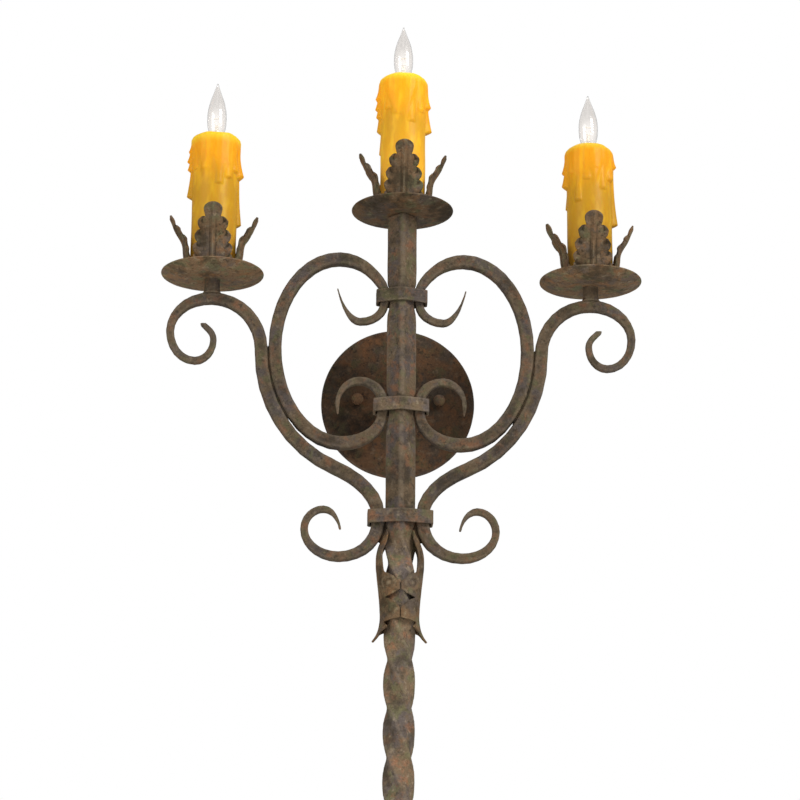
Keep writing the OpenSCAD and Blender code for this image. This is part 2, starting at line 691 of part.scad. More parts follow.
module pan_nut() {
    color(brass) translate([0, 0, disc_z]) nut(pan_nut_flats, pan_nut_height, nipple_d / 2 + seat);
}

module nipple() {
    color(steel) translate([0, 0, under_z - nipple_below]) difference() {
        cylinder(d = nipple_d, h = nipple_top - under_z + nipple_below);
        translate([0, 0, -1]) cylinder(d = nipple_bore, h = nipple_top - under_z + nipple_below + 2);
    }
}

// Foot of the socket bracket, over the nut
bracket_foot = disc_z + pan_nut_height + seat;
// The bracket's leg and its two round ends: sheet, width of the leg
leg_sheet = 1.6;
leg_width = 8;
end_sheet = 2;

module socket_bracket() {
    color(steel) {
        difference() {
            translate([0, 0, bracket_foot]) cylinder(r = socket_r, h = end_sheet);
            translate([0, 0, bracket_foot - 1]) cylinder(r = nipple_d / 2 + seat, h = end_sheet + 2);
        }
        translate([leg_sheet / 4 - socket_r, -leg_width / 2, bracket_foot + end_sheet / 2])
            cube([leg_sheet, leg_width, socket_foot - bracket_foot - end_sheet]);
        translate([0, 0, socket_foot - end_sheet - seat])
            cylinder(r = socket_r - leg_sheet / 4, h = end_sheet);
    }
}

socket_wall = 2.4;
socket_floor = 3;
rivet_r = 1.7;

module socket_body() {
    color(black) translate([0, 0, socket_foot]) difference() {
        cylinder(r = socket_r, h = socket_height);
        translate([0, 0, socket_floor]) cylinder(r = socket_r - socket_wall, h = socket_height);
        translate([0, 0, -1]) cylinder(r = rivet_r + seat, h = socket_floor + 2);
    }
}

shell_wall = 0.4;
shell_depth = 20;

module socket_shell() {
    color(brass) translate([0, 0, socket_top - shell_depth]) difference() {
        cylinder(r = socket_r - socket_wall - seat, h = shell_depth);
        translate([0, 0, -1]) cylinder(r = socket_r - socket_wall - seat - shell_wall, h = shell_depth + 2);
    }
}

// The contact's round plate on the socket's floor, under its spring
contact_r = 4;
contact_sheet = 0.8;

module socket_contact() {
    plate_z = socket_floor + seat;
    spring_z = plate_z + contact_sheet / 2;
    color(brass) translate([0, 0, socket_foot]) {
        translate([0, 0, seat]) cylinder(r = rivet_r, h = socket_floor + contact_sheet / 2);
        translate([0, 0, plate_z]) cylinder(r = contact_r, h = contact_sheet);
        translate([0, 0, spring_z])
            cylinder(r1 = contact_r - 1, r2 = rivet_r, h = base_foot - socket_foot - spring_z - seat);
    }
}

// ----------------------------------------------------------------- candles

// Share of the candle's height that the run wax reaches down to, in the mean
wax_share = 0.59;
// Height of the run wax's lower edge at angle a, as a share of the candle's height
function wax_edge(a, turned) =
    wax_share + 0.07 * sin(3 * a + turned) + 0.05 * sin(5 * a - 2 * turned) + 0.04 * sin(8 * a + 3 * turned);
// How far the drips stand out at angle a
function drip_out(a, turned) =
    let (s = sin(4.5 * (a + turned)) * sin(3.5 * a - turned) + 0.35 * sin(11 * a + 2 * turned))
    max(0, s);
// Height share at which the candle's shoulder starts to round in, and by how much it does
brow_start = 0.94;
brow = 4.4;
// Height share over which the wax thickens from its edge to its bead
bead_share = 0.05;

// Radius of the candle at angle a and height share t
function candle_radius(a, t, turned) =
    let (edge = wax_edge(a, turned), out = drip_out(a, turned),
         over = min(1, max(0, (t - edge) / bead_share)),
         bead = exp(-pow((t - edge) / bead_share - 1, 2)),
         round_in = brow * pow(max(0, t - brow_start) / (1 - brow_start), 2))
    candle_r + over * (wax * (1.2 - 0.2 * t) + drip * out * (0.85 - 0.7 * t))
        + drip * bead * (0.12 + 0.35 * out) - round_in;

candle_sides = 36;
candle_levels = [0, 0.28, 0.44, 0.5, 0.56, 0.61, 0.66, 0.71, 0.77, 0.84, 0.91, brow_start, 0.98, 1];

module candle(turned) {
    color(amber) difference() {
        loft([for (t = candle_levels) [for (i = [0:candle_sides - 1])
            let (a = -360 * i / candle_sides, r = candle_radius(a, t, turned))
            [r * cos(a), r * sin(a), candle_foot + candle_height * t]]]);
        translate([0, 0, candle_foot - 1]) cylinder(r = candle_bore_r, h = candle_height + 2);
    }
}

// ------------------------------------------------------------------- lamps

// Foot of the lamp's base, and the level where its glass starts
base_height = 15;
neck_z = socket_top + 1.2;
base_foot = neck_z - base_height;
tip_z = candle_top + bulb_above;
glass_height = tip_z - neck_z;
// Flame outline of the glass: [share of its height, share of its largest radius]
flame = [[0, 0.52], [0.06, 0.6], [0.14, 0.77], [0.22, 0.9], [0.31, 0.98], [0.4, 1], [0.5, 0.97],
         [0.6, 0.87], [0.69, 0.73], [0.77, 0.56], [0.84, 0.4], [0.9, 0.27], [0.95, 0.17], [0.985, 0.11],
         [1, 0.06]];

module bulb_glass() {
    last = len(flame) - 1;
    color(clear, 0.4) translate([0, 0, neck_z]) rotate_extrude() polygon(concat(
        [for (p = flame) [p[1] * bulb_r, p[0] * glass_height]],
        [[0, glass_height]],
        [[0, glass_height * 0.93]],
        [for (i = [last - 4:-1:0]) [flame[i][1] * bulb_r - glass_wall, flame[i][0] * glass_height]]));
}

// The base's screw shell: its rings' depth, width and spacing, and how many there are
thread_deep = 0.4;
thread_width = 1.2;
thread_pitch = 1.9;
thread_rings = 6;
// The base's tip: height of its button, of its cone and of both, and its radius
button = 1.2;
tip_height = 3;
button_r = 2.4;

module bulb_base() {
    shell_r = base_r - thread_deep;
    color(brass) translate([0, 0, base_foot]) {
        translate([0, 0, tip_height]) cylinder(r = shell_r, h = base_height - tip_height - seat);
        for (i = [0:thread_rings - 1])
            translate([0, 0, tip_height + thread_width / 2 + thread_pitch * i]) rotate_extrude()
                polygon([[shell_r - 1, -thread_width / 2], [base_r, 0], [shell_r - 1, thread_width / 2]]);
        translate([0, 0, button - 0.1])
            cylinder(r1 = button_r, r2 = shell_r - thread_deep, h = tip_height - button + 0.1);
        cylinder(r = button_r, h = button);
    }
}

// The glass stem in the bulb: flared foot and rod, with the wires that hold the filament
stem_r = 2;
stem_foot_r = 3.6;
stem_foot = 8;
stem_height = glass_height * 0.3;
wire_r = 0.35;
wire_length = 10;
wire_lean = 18;
filament_r = 0.6;
filament_half = 4.2;

module bulb_filament() {
    color(steel) translate([0, 0, neck_z]) {
        cylinder(r1 = stem_foot_r, r2 = stem_r, h = stem_foot);
        translate([0, 0, stem_foot - 1]) cylinder(r = stem_r, h = stem_height - stem_foot + 1);
        for (x = [-1, 1]) translate([x * stem_r * 0.6, 0, stem_height - 1]) rotate([0, x * wire_lean, 0])
            cylinder(r = wire_r, h = wire_length);
        translate([-filament_half, 0, stem_height - 1 + wire_length * cos(wire_lean)])
            rotate([0, 90, 0]) cylinder(r = filament_r, h = 2 * filament_half);
    }
}

// ---------------------------------------------------------------- assembly

shaft();
arm_left();
arm_right();
scroll_left();
scroll_right();
collar_top();
collar_middle();
collar_bottom();
leaf_clasp_left();
leaf_clasp_right();
backplate();
standoff_post();
post_nut();
wall_bracket();
canopy_studs();
canopy_knobs();
ground_screw();
at_left() riser();  // riser_left
at_right() riser();  // riser_right
at_left() pan();  // pan_left
at_centre() pan();  // pan_centre
at_right() pan();  // pan_right
at_left() leaf_cup();  // leaf_cup_left
at_centre() leaf_cup();  // leaf_cup_centre
at_right() leaf_cup();  // leaf_cup_right
at_left() pan_nut();  // pan_nut_left
at_centre() pan_nut();  // pan_nut_centre
at_right() pan_nut();  // pan_nut_right
at_left() nipple();  // nipple_left
at_centre() nipple();  // nipple_centre
at_right() nipple();  // nipple_right
at_left() socket_bracket();  // socket_bracket_left
at_centre() socket_bracket();  // socket_bracket_centre
at_right() socket_bracket();  // socket_bracket_right
at_left() socket_body();  // socket_body_left
at_centre() socket_body();  // socket_body_centre
at_right() socket_body();  // socket_body_right
at_left() socket_shell();  // socket_shell_left
at_centre() socket_shell();  // socket_shell_centre
at_right() socket_shell();  // socket_shell_right
at_left() socket_contact();  // socket_contact_left
at_centre() socket_contact();  // socket_contact_centre
at_right() socket_contact();  // socket_contact_right
at_left() candle(10);  // candle_left
at_centre() candle(77);  // candle_centre
at_right() candle(141);  // candle_right
at_left() bulb_glass();  // bulb_glass_left
at_centre() bulb_glass();  // bulb_glass_centre
at_right() bulb_glass();  // bulb_glass_right
at_left() bulb_base();  // bulb_base_left
at_centre() bulb_base();  // bulb_base_centre
at_right() bulb_base();  // bulb_base_right
at_left() bulb_filament();  // bulb_filament_left
at_centre() bulb_filament();  // bulb_filament_centre
at_right() bulb_filament();  // bulb_filament_right
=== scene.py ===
"""Looks of a hand-forged three-light torch wall sconce, dressed round its fixed frame.

Every size is in metres and every piece stands where the frame holds it: the wall is
the plane y = 0, the front faces -Y, +X is to the right seen from the front, +Z is up.
"""

import logging
import math
from collections.abc import Callable, Iterable, Sequence
from dataclasses import dataclass, field
from enum import Enum

import bmesh
import bpy
import numpy as np
from mathutils import Matrix, Vector, noise
from mathutils.bvhtree import BVHTree


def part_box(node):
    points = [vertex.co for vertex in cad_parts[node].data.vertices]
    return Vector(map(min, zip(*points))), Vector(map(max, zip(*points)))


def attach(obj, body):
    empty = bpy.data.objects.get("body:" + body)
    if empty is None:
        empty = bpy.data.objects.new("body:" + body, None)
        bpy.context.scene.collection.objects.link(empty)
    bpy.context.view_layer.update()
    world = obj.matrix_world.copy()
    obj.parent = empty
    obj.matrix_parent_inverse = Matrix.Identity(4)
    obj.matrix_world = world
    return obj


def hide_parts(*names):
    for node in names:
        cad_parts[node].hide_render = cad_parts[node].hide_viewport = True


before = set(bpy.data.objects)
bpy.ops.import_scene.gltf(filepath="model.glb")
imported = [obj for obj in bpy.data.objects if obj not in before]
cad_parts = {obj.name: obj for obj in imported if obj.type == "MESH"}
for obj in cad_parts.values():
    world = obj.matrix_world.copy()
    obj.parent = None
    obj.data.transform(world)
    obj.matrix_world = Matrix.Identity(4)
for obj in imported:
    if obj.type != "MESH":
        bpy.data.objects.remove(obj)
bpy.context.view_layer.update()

LOG = logging.getLogger("torch_sconce")
MM = 0.001
# Points closer than this are one point
MERGE = 0.01 * MM
# Names of the attributes that materials read
EDGE = "edge"
HEIGHT = "height"
RUN = "run"
# The tone scales a piece's colour; on the collars, the shaft's twist, the pans, the candles, the knobs, the
# weld beads and the backplate it is painted light and shade
TONE = "tone"
# The hammer's fine marks: their share of the depth, and how many go into the width of a broad one
FINE_SHARE = 0.28
FINE_COUNT = 2.7

Colour = tuple[float, float, float]


class Side(Enum):
    """Where a light stands, seen from the front."""

    LEFT = "left"
    CENTRE = "centre"
    RIGHT = "right"


# ------------------------------------------------------------------ small maths


def ease(low: float, high: float, value: float) -> float:
    """Share of the way from low to high, with a soft start and end.

    Args:
        low: value at which the share is 0.
        high: value at which the share is 1.
        value: value to place between them.

    Returns:
        A share from 0 to 1.
    """
    share = min(1.0, max(0.0, (value - low) / (high - low)))
    return share * share * (3 - 2 * share)


def blend(low: float, high: float, share: float) -> float:
    """Value at a share of the way from low to high."""
    return low + (high - low) * share


def bump(distance: float, width: float) -> float:
    """Bell curve: 1 at distance 0, falling off over width."""
    return math.exp(-((distance / width) ** 2))


def along(stations: Sequence[Sequence[float]], share: float) -> list[float]:
    """Point on a smooth curve through stations.

    Args:
        stations: rows of equally many numbers, in order.
        share: how far along the rows, from 0 to 1.

    Returns:
        The row of numbers at that share.
    """
    place = share * (len(stations) - 1)
    index = min(int(place), len(stations) - 2)
    t = place - index
    rows = [stations[max(0, min(len(stations) - 1, index + step))] for step in (-1, 0, 1, 2)]
    return [
        b + t * (c - a) / 2 + t * t * (a - 2.5 * b + 2 * c - d / 2) + t**3 * (1.5 * (b - c) + (d - a) / 2)
        for a, b, c, d in zip(*rows)
    ]


# ----------------------------------------------------------------- shader graphs


class Graph:
    """Short calls that add and join the nodes of one tree."""

    def __init__(self, tree: bpy.types.NodeTree) -> None:
        """Keeps the tree that the nodes are added to."""
        self.tree = tree

    def feed(self, socket: bpy.types.NodeSocket, value: object) -> None:
        """Links an output to a socket, or sets the socket's own value.

        Args:
            socket: the input to feed.
            value: an output socket, a colour, a vector or a number.
        """
        if isinstance(value, bpy.types.NodeSocket):
            self.tree.links.new(value, socket)
        elif socket.type == "RGBA" and isinstance(value, tuple):
            socket.default_value = (*value, 1.0)
        else:
            socket.default_value = value

    def add(self, kind: str, inputs: dict[str, object] | None = None, **settings: object) -> bpy.types.Node:
        """Adds a shader node.

        Args:
            kind: the node's type, without its prefix.
            inputs: what feeds each named input.
            settings: the node's own properties.

        Returns:
            The new node.
        """
        node = self.tree.nodes.new("ShaderNode" + kind)
        for name, value in settings.items():
            setattr(node, name, value)
        for name, value in (inputs or {}).items():
            self.feed(node.inputs[name], value)
        return node

    def cloud(self, vector: bpy.types.NodeSocket, grain: float, detail: float = 3.0, rough: float = 0.55,
              shift: float = 0.0) -> bpy.types.NodeSocket:
        """Cloudy noise whose patches are about grain metres wide.

        Args:
            vector: coordinates in metres.
            grain: width of a patch.
            detail: how many finer layers it has.
            rough: strength of the finer layers.
            shift: moves the pattern, so that two clouds differ.

        Returns:
            The noise's value, about 0.5 in the mean.
        """
        moved = self.add("Mapping", {"Vector": vector, "Location": (shift, shift * 0.7, -shift)})
        node = self.add("TexNoise", {"Vector": moved.outputs["Vector"], "Scale": 1 / grain,
                                     "Detail": detail, "Roughness": rough})
        return node.outputs["Fac"]

    def window(self, value: bpy.types.NodeSocket, low: float, high: float, top: float = 1.0,
               bottom: float = 0.0) -> bpy.types.NodeSocket:
        """Soft step of a value between low and high, from bottom to top."""
        node = self.add("MapRange", {"Value": value, "From Min": low, "From Max": high,
                                     "To Min": bottom, "To Max": top}, interpolation_type="SMOOTHSTEP")
        return node.outputs["Result"]

    def mix(self, factor: object, first: object, second: object, kind: str = "MIX") -> bpy.types.NodeSocket:
        """Mixes two colours.

        Args:
            factor: share of the second colour.
            first: the colour at 0.
            second: the colour at 1.
            kind: how the second is laid over the first.

        Returns:
            The mixed colour.
        """
        node = self.add("Mix", data_type="RGBA", blend_type=kind)
        for index, value in ((0, factor), (6, first), (7, second)):
            self.feed(node.inputs[index], value)
        return node.outputs[2]

    def maths(self, kind: str, first: object, second: object = 0.0) -> bpy.types.NodeSocket:
        """One arithmetic step on two values.

        Args:
            kind: the operation.
            first: its first value.
            second: its second value.

        Returns:
            The result.
        """
        node = self.add("Math", operation=kind)
        self.feed(node.inputs[0], first)
        self.feed(node.inputs[1], second)
        return node.outputs["Value"]

    def toned(self, colour: object, tone: object) -> bpy.types.NodeSocket:
        """A colour made lighter or darker, multiplied by a value."""
        grey = self.add("CombineColor", {"Red": tone, "Green": tone, "Blue": tone}).outputs["Color"]
        return self.mix(1.0, colour, grey, "MULTIPLY")

    def stretched(self, vector: object, share: float) -> bpy.types.NodeSocket:
        """Coordinates on which a pattern is drawn out along Z, to 1 / share of its length."""
        return self.add("Mapping", {"Vector": vector, "Scale": (1.0, 1.0, share)}).outputs["Vector"]

    def attribute(self, name: str) -> bpy.types.NodeSocket:
        """Value of one of the piece's own attributes."""
        return self.add("Attribute", attribute_name=name).outputs["Fac"]

    def place(self) -> bpy.types.NodeSocket:
        """Place on the piece, in metres."""
        return self.add("TexCoord").outputs["Object"]


def new_group(name: str, inputs: dict[str, str],
              outputs: dict[str, str]) -> tuple[Graph, bpy.types.Node, bpy.types.Node]:
    """Starts a shader node group.

    Args:
        name: what the group is called.
        inputs: type of each named input.
        outputs: type of each named output.

    Returns:
        Its graph, the node that gives its inputs and the node that takes its outputs.
    """
    tree = bpy.data.node_groups.new(name, "ShaderNodeTree")
    for label, kind in inputs.items():
        tree.interface.new_socket(name=label, in_out="INPUT", socket_type="NodeSocket" + kind)
    for label, kind in outputs.items():
        tree.interface.new_socket(name=label, in_out="OUTPUT", socket_type="NodeSocket" + kind)
    return Graph(tree), tree.nodes.new("NodeGroupInput"), tree.nodes.new("NodeGroupOutput")


@dataclass(frozen=True)
class Patch:
    """Soft patches of one of a patina's colours.

    The grain is their width, low and high are the noise between which they set in, and top is how much
    they cover. Shift moves them, so that two kinds differ.
    """

    colour: str
    grain: float
    shift: float
    low: float
    high: float
    top: float = 1.0
    detail: float = 5.0
    rough: float = 0.68


# Laid over each other in this order
PATCHES = (
    Patch("Slate", 30 * MM, 0.0, 0.45, 0.6, rough=0.66),
    Patch("Verdigris", 17 * MM, 0.77, 0.49, 0.64, 0.85),
    Patch("Rust", 15 * MM, 0.31, 0.5, 0.67, 0.85),
    Patch("Pale", 7 * MM, 3.3, 0.54, 0.7, 0.6, 4.0, 0.62),
    Patch("Deep", 38 * MM, 1.3, 0.5, 0.66, 0.8, rough=0.66),
    Patch("Deep", 6 * MM, 2.1, 0.53, 0.64, 0.7, rough=0.74))


def patina_group() -> bpy.types.NodeTree:
    """Brown patina clouded with slate, rust and verdigris, darker in large soft blotches.

    Returns:
        A group with the outputs Color and Grain.
    """
    colours = ("Ground", "Slate", "Rust", "Verdigris", "Deep", "Pale")
    graph, given, made = new_group(
        "patina", {"Vector": "Vector", "Tone": "Float", **{name: "Color" for name in colours}},
        {"Color": "Color", "Grain": "Float"})
    place = given.outputs["Vector"]
    colour = given.outputs["Ground"]
    for patch in PATCHES:
        cloud = graph.cloud(place, patch.grain, patch.detail, patch.rough, patch.shift)
        mask = graph.window(cloud, patch.low, patch.high, patch.top)
        colour = graph.mix(mask, colour, given.outputs[patch.colour])
    grain = graph.cloud(place, 1.8 * MM, detail=4, rough=0.7, shift=0.5)
    light = graph.maths("MULTIPLY", graph.window(grain, 0.3, 0.7, top=1.22, bottom=0.8), given.outputs["Tone"])
    graph.feed(made.inputs["Color"], graph.toned(colour, light))
    graph.feed(made.inputs["Grain"], grain)
    return graph.tree


def wear_and_highlight_group() -> bpy.types.NodeTree:
    """Masks of rubbed edges, which also carry a painted highlight, and of grimy hollows, broken up by noise.

    Returns:
        A group with the outputs WearAndHighlight and Grime.
    """
    graph, given, made = new_group("edge_wear_and_highlight", {"Vector": "Vector", "Edge": "Float"},
                                   {"WearAndHighlight": "Float", "Grime": "Float"})
    edge = given.outputs["Edge"]
    cloud = graph.cloud(given.outputs["Vector"], 6 * MM, detail=4, rough=0.65, shift=0.9)
    broken = graph.window(cloud, 0.3, 0.62)
    wear_and_highlight = graph.maths("MULTIPLY", graph.window(edge, 0.05, 0.6), broken)
    grime = graph.window(edge, -0.05, -0.4)
    graph.feed(made.inputs["WearAndHighlight"], wear_and_highlight)
    graph.feed(made.inputs["Grime"], grime)
    return graph.tree


def hammer_group() -> bpy.types.NodeTree:
    """Height of the fine scale left by the hammer, in metres.

    Returns:
        A group with the output Height.
    """
    graph, given, made = new_group("hammer_scale", {"Vector": "Vector"}, {"Height": "Float"})
    place = given.outputs["Vector"]
    dent_depth, pit_depth, grit_depth = 0.22 * MM, 0.10 * MM, 0.05 * MM
    dented = graph.cloud(place, 5 * MM, detail=2, rough=0.5, shift=0.2)
    pitted = graph.window(graph.cloud(place, 1.4 * MM, detail=3, rough=0.6, shift=1.7), 0.34, 0.5)
    gritty = graph.cloud(place, 0.5 * MM, detail=2, rough=0.6, shift=2.9)
    dents = graph.maths("MULTIPLY", dented, dent_depth)
    pits = graph.maths("MULTIPLY", pitted, pit_depth)
    grit = graph.maths("MULTIPLY", gritty, grit_depth)
    graph.feed(made.inputs["Height"], graph.maths("ADD", graph.maths("ADD", dents, pits), grit))
    return graph.tree


def dust_group() -> bpy.types.NodeTree:
    """Mask of dust that has settled on faces that look up.

    Returns:
        A group with the output Dust.
    """
    graph, given, made = new_group("dust", {"Vector": "Vector", "Normal": "Vector"}, {"Dust": "Float"})
    up = graph.add("SeparateXYZ", {"Vector": given.outputs["Normal"]}).outputs["Z"]
    cloud = graph.cloud(given.outputs["Vector"], 8 * MM, detail=5, rough=0.7, shift=1.9)
    broken = graph.window(cloud, 0.3, 0.7)
    graph.feed(made.inputs["Dust"], graph.maths("MULTIPLY", graph.window(up, 0.55, 1.0), broken))
    return graph.tree


GROUP_MAKERS: dict[str, Callable[[], bpy.types.NodeTree]] = {
    "patina": patina_group, "edge_wear_and_highlight": wear_and_highlight_group, "hammer_scale": hammer_group, "dust": dust_group}


def shared(name: str) -> bpy.types.NodeTree:
    """The shader group of that name, built the first time it is asked for."""
    return bpy.data.node_groups.get(name) or GROUP_MAKERS[name]()


# ---------------------------------------------------------------------- finishes


@dataclass(frozen=True)
class Finish:
    """What every finish has: a name for its material and a slot of the record."""

    name: str
    slot: str

    def material(self) -> bpy.types.Material:
        """The finish's material, made the first time it is asked for.

        Returns:
            The material.
        """
        known = bpy.data.materials.get(self.name)
        if known:
            return known
        made = bpy.data.materials.new(self.name)
        made.use_nodes = True
        graph = Graph(made.node_tree)
        self.paint(graph, made.node_tree.nodes["Principled BSDF"])
        return made

    def paint(self, graph: Graph, shader: bpy.types.Node) -> None:
        """Feeds the shader.

        Args:
            graph: the material's graph.
            shader: its Principled BSDF.
        """
        raise NotImplementedError

    @staticmethod
    def relief(graph: Graph, shader: bpy.types.Node, height: bpy.types.NodeSocket) -> None:
        """Turns a height in metres into the shader's normal."""
        node = graph.add("Bump", {"Height": height, "Strength": 1.0, "Distance": 1.0})
        graph.feed(shader.inputs["Normal"], node.outputs["Normal"])


@dataclass(frozen=True)
class IronFinish(Finish):
    """Patinated forged iron, paler along its edges from rubbed wear and a painted highlight."""

    ground: Colour
    slate: Colour
    rust: Colour
    verdigris: Colour
    deep: Colour
    worn_and_highlight: Colour
    wear_and_highlight: float
    roughness: float
    # Shares that grime, dust and bare metal have where they are fullest
    grime: float = 0.75
    dust: float = 0.22
    bare: float = 0.3
    # How far the grain spreads the roughness, and how much rubbing takes off it
    uneven: float = 0.3
    polish: float = 0.2
    sheen: float = 0.12

    def paint(self, graph: Graph, shader: bpy.types.Node) -> None:
        """Feeds the shader.

        Args:
            graph: the material's graph.
            shader: its Principled BSDF.
        """
        place = graph.place()
        patina = graph.add("Group", {"Vector": place, "Tone": graph.attribute(TONE), "Ground": self.ground,
                                     "Slate": self.slate, "Rust": self.rust, "Verdigris": self.verdigris,
                                     "Deep": self.deep, "Pale": self.worn_and_highlight},
                           node_tree=shared("patina"))
        edges = graph.add("Group", {"Vector": place, "Edge": graph.attribute(EDGE)},
                          node_tree=shared("edge_wear_and_highlight"))
        normal = graph.add("NewGeometry").outputs["Normal"]
        dust = graph.add("Group", {"Vector": place, "Normal": normal}, node_tree=shared("dust"))
        wear_and_highlight = graph.maths("MULTIPLY", edges.outputs["WearAndHighlight"], self.wear_and_highlight)
        grime = graph.maths("MULTIPLY", edges.outputs["Grime"], self.grime)
        dusty = graph.maths("MULTIPLY", dust.outputs["Dust"], self.dust)
        colour = graph.mix(grime, patina.outputs["Color"], self.deep)
        # Paler edges: rubbed wear together with a painted highlight along the ridges
        colour = graph.mix(wear_and_highlight, colour, self.worn_and_highlight)
        colour = graph.mix(dusty, colour, self.slate)
        uneven = graph.maths("MULTIPLY", patina.outputs["Grain"], self.uneven)
        rough = graph.maths("ADD", uneven, self.roughness - self.uneven / 2)
        polished = graph.maths("MULTIPLY", wear_and_highlight, self.polish)
        scale = graph.add("Group", {"Vector": place}, node_tree=shared("hammer_scale"))
        graph.feed(shader.inputs["Base Color"], colour)
        graph.feed(shader.inputs["Roughness"], graph.maths("SUBTRACT", rough, polished))
        graph.feed(shader.inputs["Metallic"], graph.maths("MULTIPLY", wear_and_highlight, self.bare))
        shader.inputs["Specular IOR Level"].default_value = self.sheen
        self.relief(graph, shader, scale.outputs["Height"])


@dataclass(frozen=True)
class WaxFinish(Finish):
    """Amber resin: yellow on its top, orange under it, ochre towards its foot."""

    top: Colour
    upper: Colour
    middle: Colour
    foot: Colour
    # Light that shines through the wax, and the share of it that is left at the foot
    glow: float = 0.24
    foot_glow: float = 0.4
    sheen: float = 0.16
    soft: float = 0.3
    soft_reach: Colour = (1.0, 0.45, 0.12)
    soft_depth: float = 3 * MM

    def paint(self, graph: Graph, shader: bpy.types.Node) -> None:
        """Feeds the shader.

        Args:
            graph: the material's graph.
            shader: its Principled BSDF.
        """
        place = graph.place()
        height = graph.attribute(HEIGHT)
        run = graph.attribute(RUN)
        cloud = graph.cloud(graph.stretched(place, 0.35), 9 * MM, detail=2, rough=0.5)
        wobble = graph.maths("MULTIPLY", graph.maths("SUBTRACT", cloud, 0.5), 0.22)
        lift = graph.maths("ADD", height, wobble)
        lift = graph.maths("ADD", lift, graph.maths("MULTIPLY", run, 0.04))
        colour = graph.mix(graph.window(lift, 0.0, 0.5), self.foot, self.middle)
        colour = graph.mix(graph.window(lift, 0.58, 0.93), colour, self.upper)
        colour = graph.mix(graph.window(cloud, 0.48, 0.7, 0.26), colour, self.top)
        colour = graph.mix(graph.window(height, 0.915, 0.985), colour, self.top)
        colour = graph.mix(graph.window(graph.attribute(EDGE), -0.05, -0.5, 0.4), colour, self.foot)
        colour = graph.toned(colour, graph.attribute(TONE))
        glow = graph.window(height, 0.0, 1.0, bottom=self.foot_glow)
        grain = graph.cloud(place, 2.5 * MM, detail=3, rough=0.6, shift=1.1)
        graph.feed(shader.inputs["Base Color"], colour)
        graph.feed(shader.inputs["Emission Color"], graph.mix(glow, (0.0, 0.0, 0.0), colour))
        graph.feed(shader.inputs["Roughness"], graph.window(grain, 0.3, 0.7, top=0.5, bottom=0.36))
        shader.inputs["Emission Strength"].default_value = self.glow
        shader.inputs["Specular IOR Level"].default_value = self.sheen
        shader.inputs["Subsurface Weight"].default_value = self.soft
        shader.inputs["Subsurface Radius"].default_value = self.soft_reach
        shader.inputs["Subsurface Scale"].default_value = self.soft_depth
        self.relief(graph, shader, graph.maths("MULTIPLY", grain, 0.15 * MM))


@dataclass(frozen=True)
class GlassFinish(Finish):
    """Clear bulb glass, greyer at its edges as a painted reflection of darker surroundings, with the lit
    filament's glow on it.
    """

    clear: Colour
    rim: Colour
    glow: Colour
    strength: float = 0.078
    roughness: float = 0.03
    refraction: float = 1.45

    def paint(self, graph: Graph, shader: bpy.types.Node) -> None:
        """Feeds the shader.

        Args:
            graph: the material's graph.
            shader: its Principled BSDF.
        """
        facing = graph.add("LayerWeight", {"Blend": 0.5}).outputs["Facing"]
        # Painted reflection: the glass turns greyer where it faces away
        colour = graph.mix(graph.window(facing, 0.55, 1.0), self.clear, self.rim)
        height = graph.attribute(HEIGHT)
        lit = graph.maths("MULTIPLY", graph.window(height, 0.02, 0.25), graph.window(height, 0.66, 0.36))
        round_glow = graph.window(facing, 0.45, 0.02)
        lit = graph.maths("MULTIPLY", lit, graph.maths("MULTIPLY", round_glow, round_glow))
        graph.feed(shader.inputs["Base Color"], colour)
        graph.feed(shader.inputs["Emission Color"], graph.mix(lit, (0.0, 0.0, 0.0), self.glow))
        shader.inputs["Emission Strength"].default_value = self.strength
        shader.inputs["Roughness"].default_value = self.roughness
        shader.inputs["Transmission Weight"].default_value = 1.0
        shader.inputs["IOR"].default_value = self.refraction


@dataclass(frozen=True)
class MetalFinish(Finish):
    """Plain turned or pressed metal, faintly clouded and scratched."""

    bright: Colour
    dull: Colour
    roughness: float

    def paint(self, graph: Graph, shader: bpy.types.Node) -> None:
        """Feeds the shader.

        Args:
            graph: the material's graph.
            shader: its Principled BSDF.
        """
        place = graph.place()
        cloud = graph.cloud(place, 7 * MM, detail=4, rough=0.6)
        scratch = graph.cloud(graph.stretched(place, 0.15), 0.6 * MM, detail=2, rough=0.6, shift=0.4)
        colour = graph.mix(graph.window(cloud, 0.35, 0.7), self.bright, self.dull)
        rough = graph.window(scratch, 0.3, 0.7, top=self.roughness + 0.12, bottom=self.roughness - 0.06)
        graph.feed(shader.inputs["Base Color"], colour)
        graph.feed(shader.inputs["Roughness"], rough)
        shader.inputs["Metallic"].default_value = 1.0
        self.relief(graph, shader, graph.maths("MULTIPLY", scratch, 0.03 * MM))


@dataclass(frozen=True)
class PhenolicFinish(Finish):
    """Black moulded socket plastic with a fine grain."""

    black: Colour
    haze: Colour

    def paint(self, graph: Graph, shader: bpy.types.Node) -> None:
        """Feeds the shader.

        Args:
            graph: the material's graph.
            shader: its Principled BSDF.
        """
        grain = graph.cloud(graph.place(), 0.8 * MM, detail=3, rough=0.6)
        colour = graph.mix(graph.window(grain, 0.4, 0.7), self.black, self.haze)
        graph.feed(shader.inputs["Base Color"], colour)
        graph.feed(shader.inputs["Roughness"], graph.window(grain, 0.3, 0.7, top=0.5, bottom=0.36))
        self.relief(graph, shader, graph.maths("MULTIPLY", grain, 0.04 * MM))


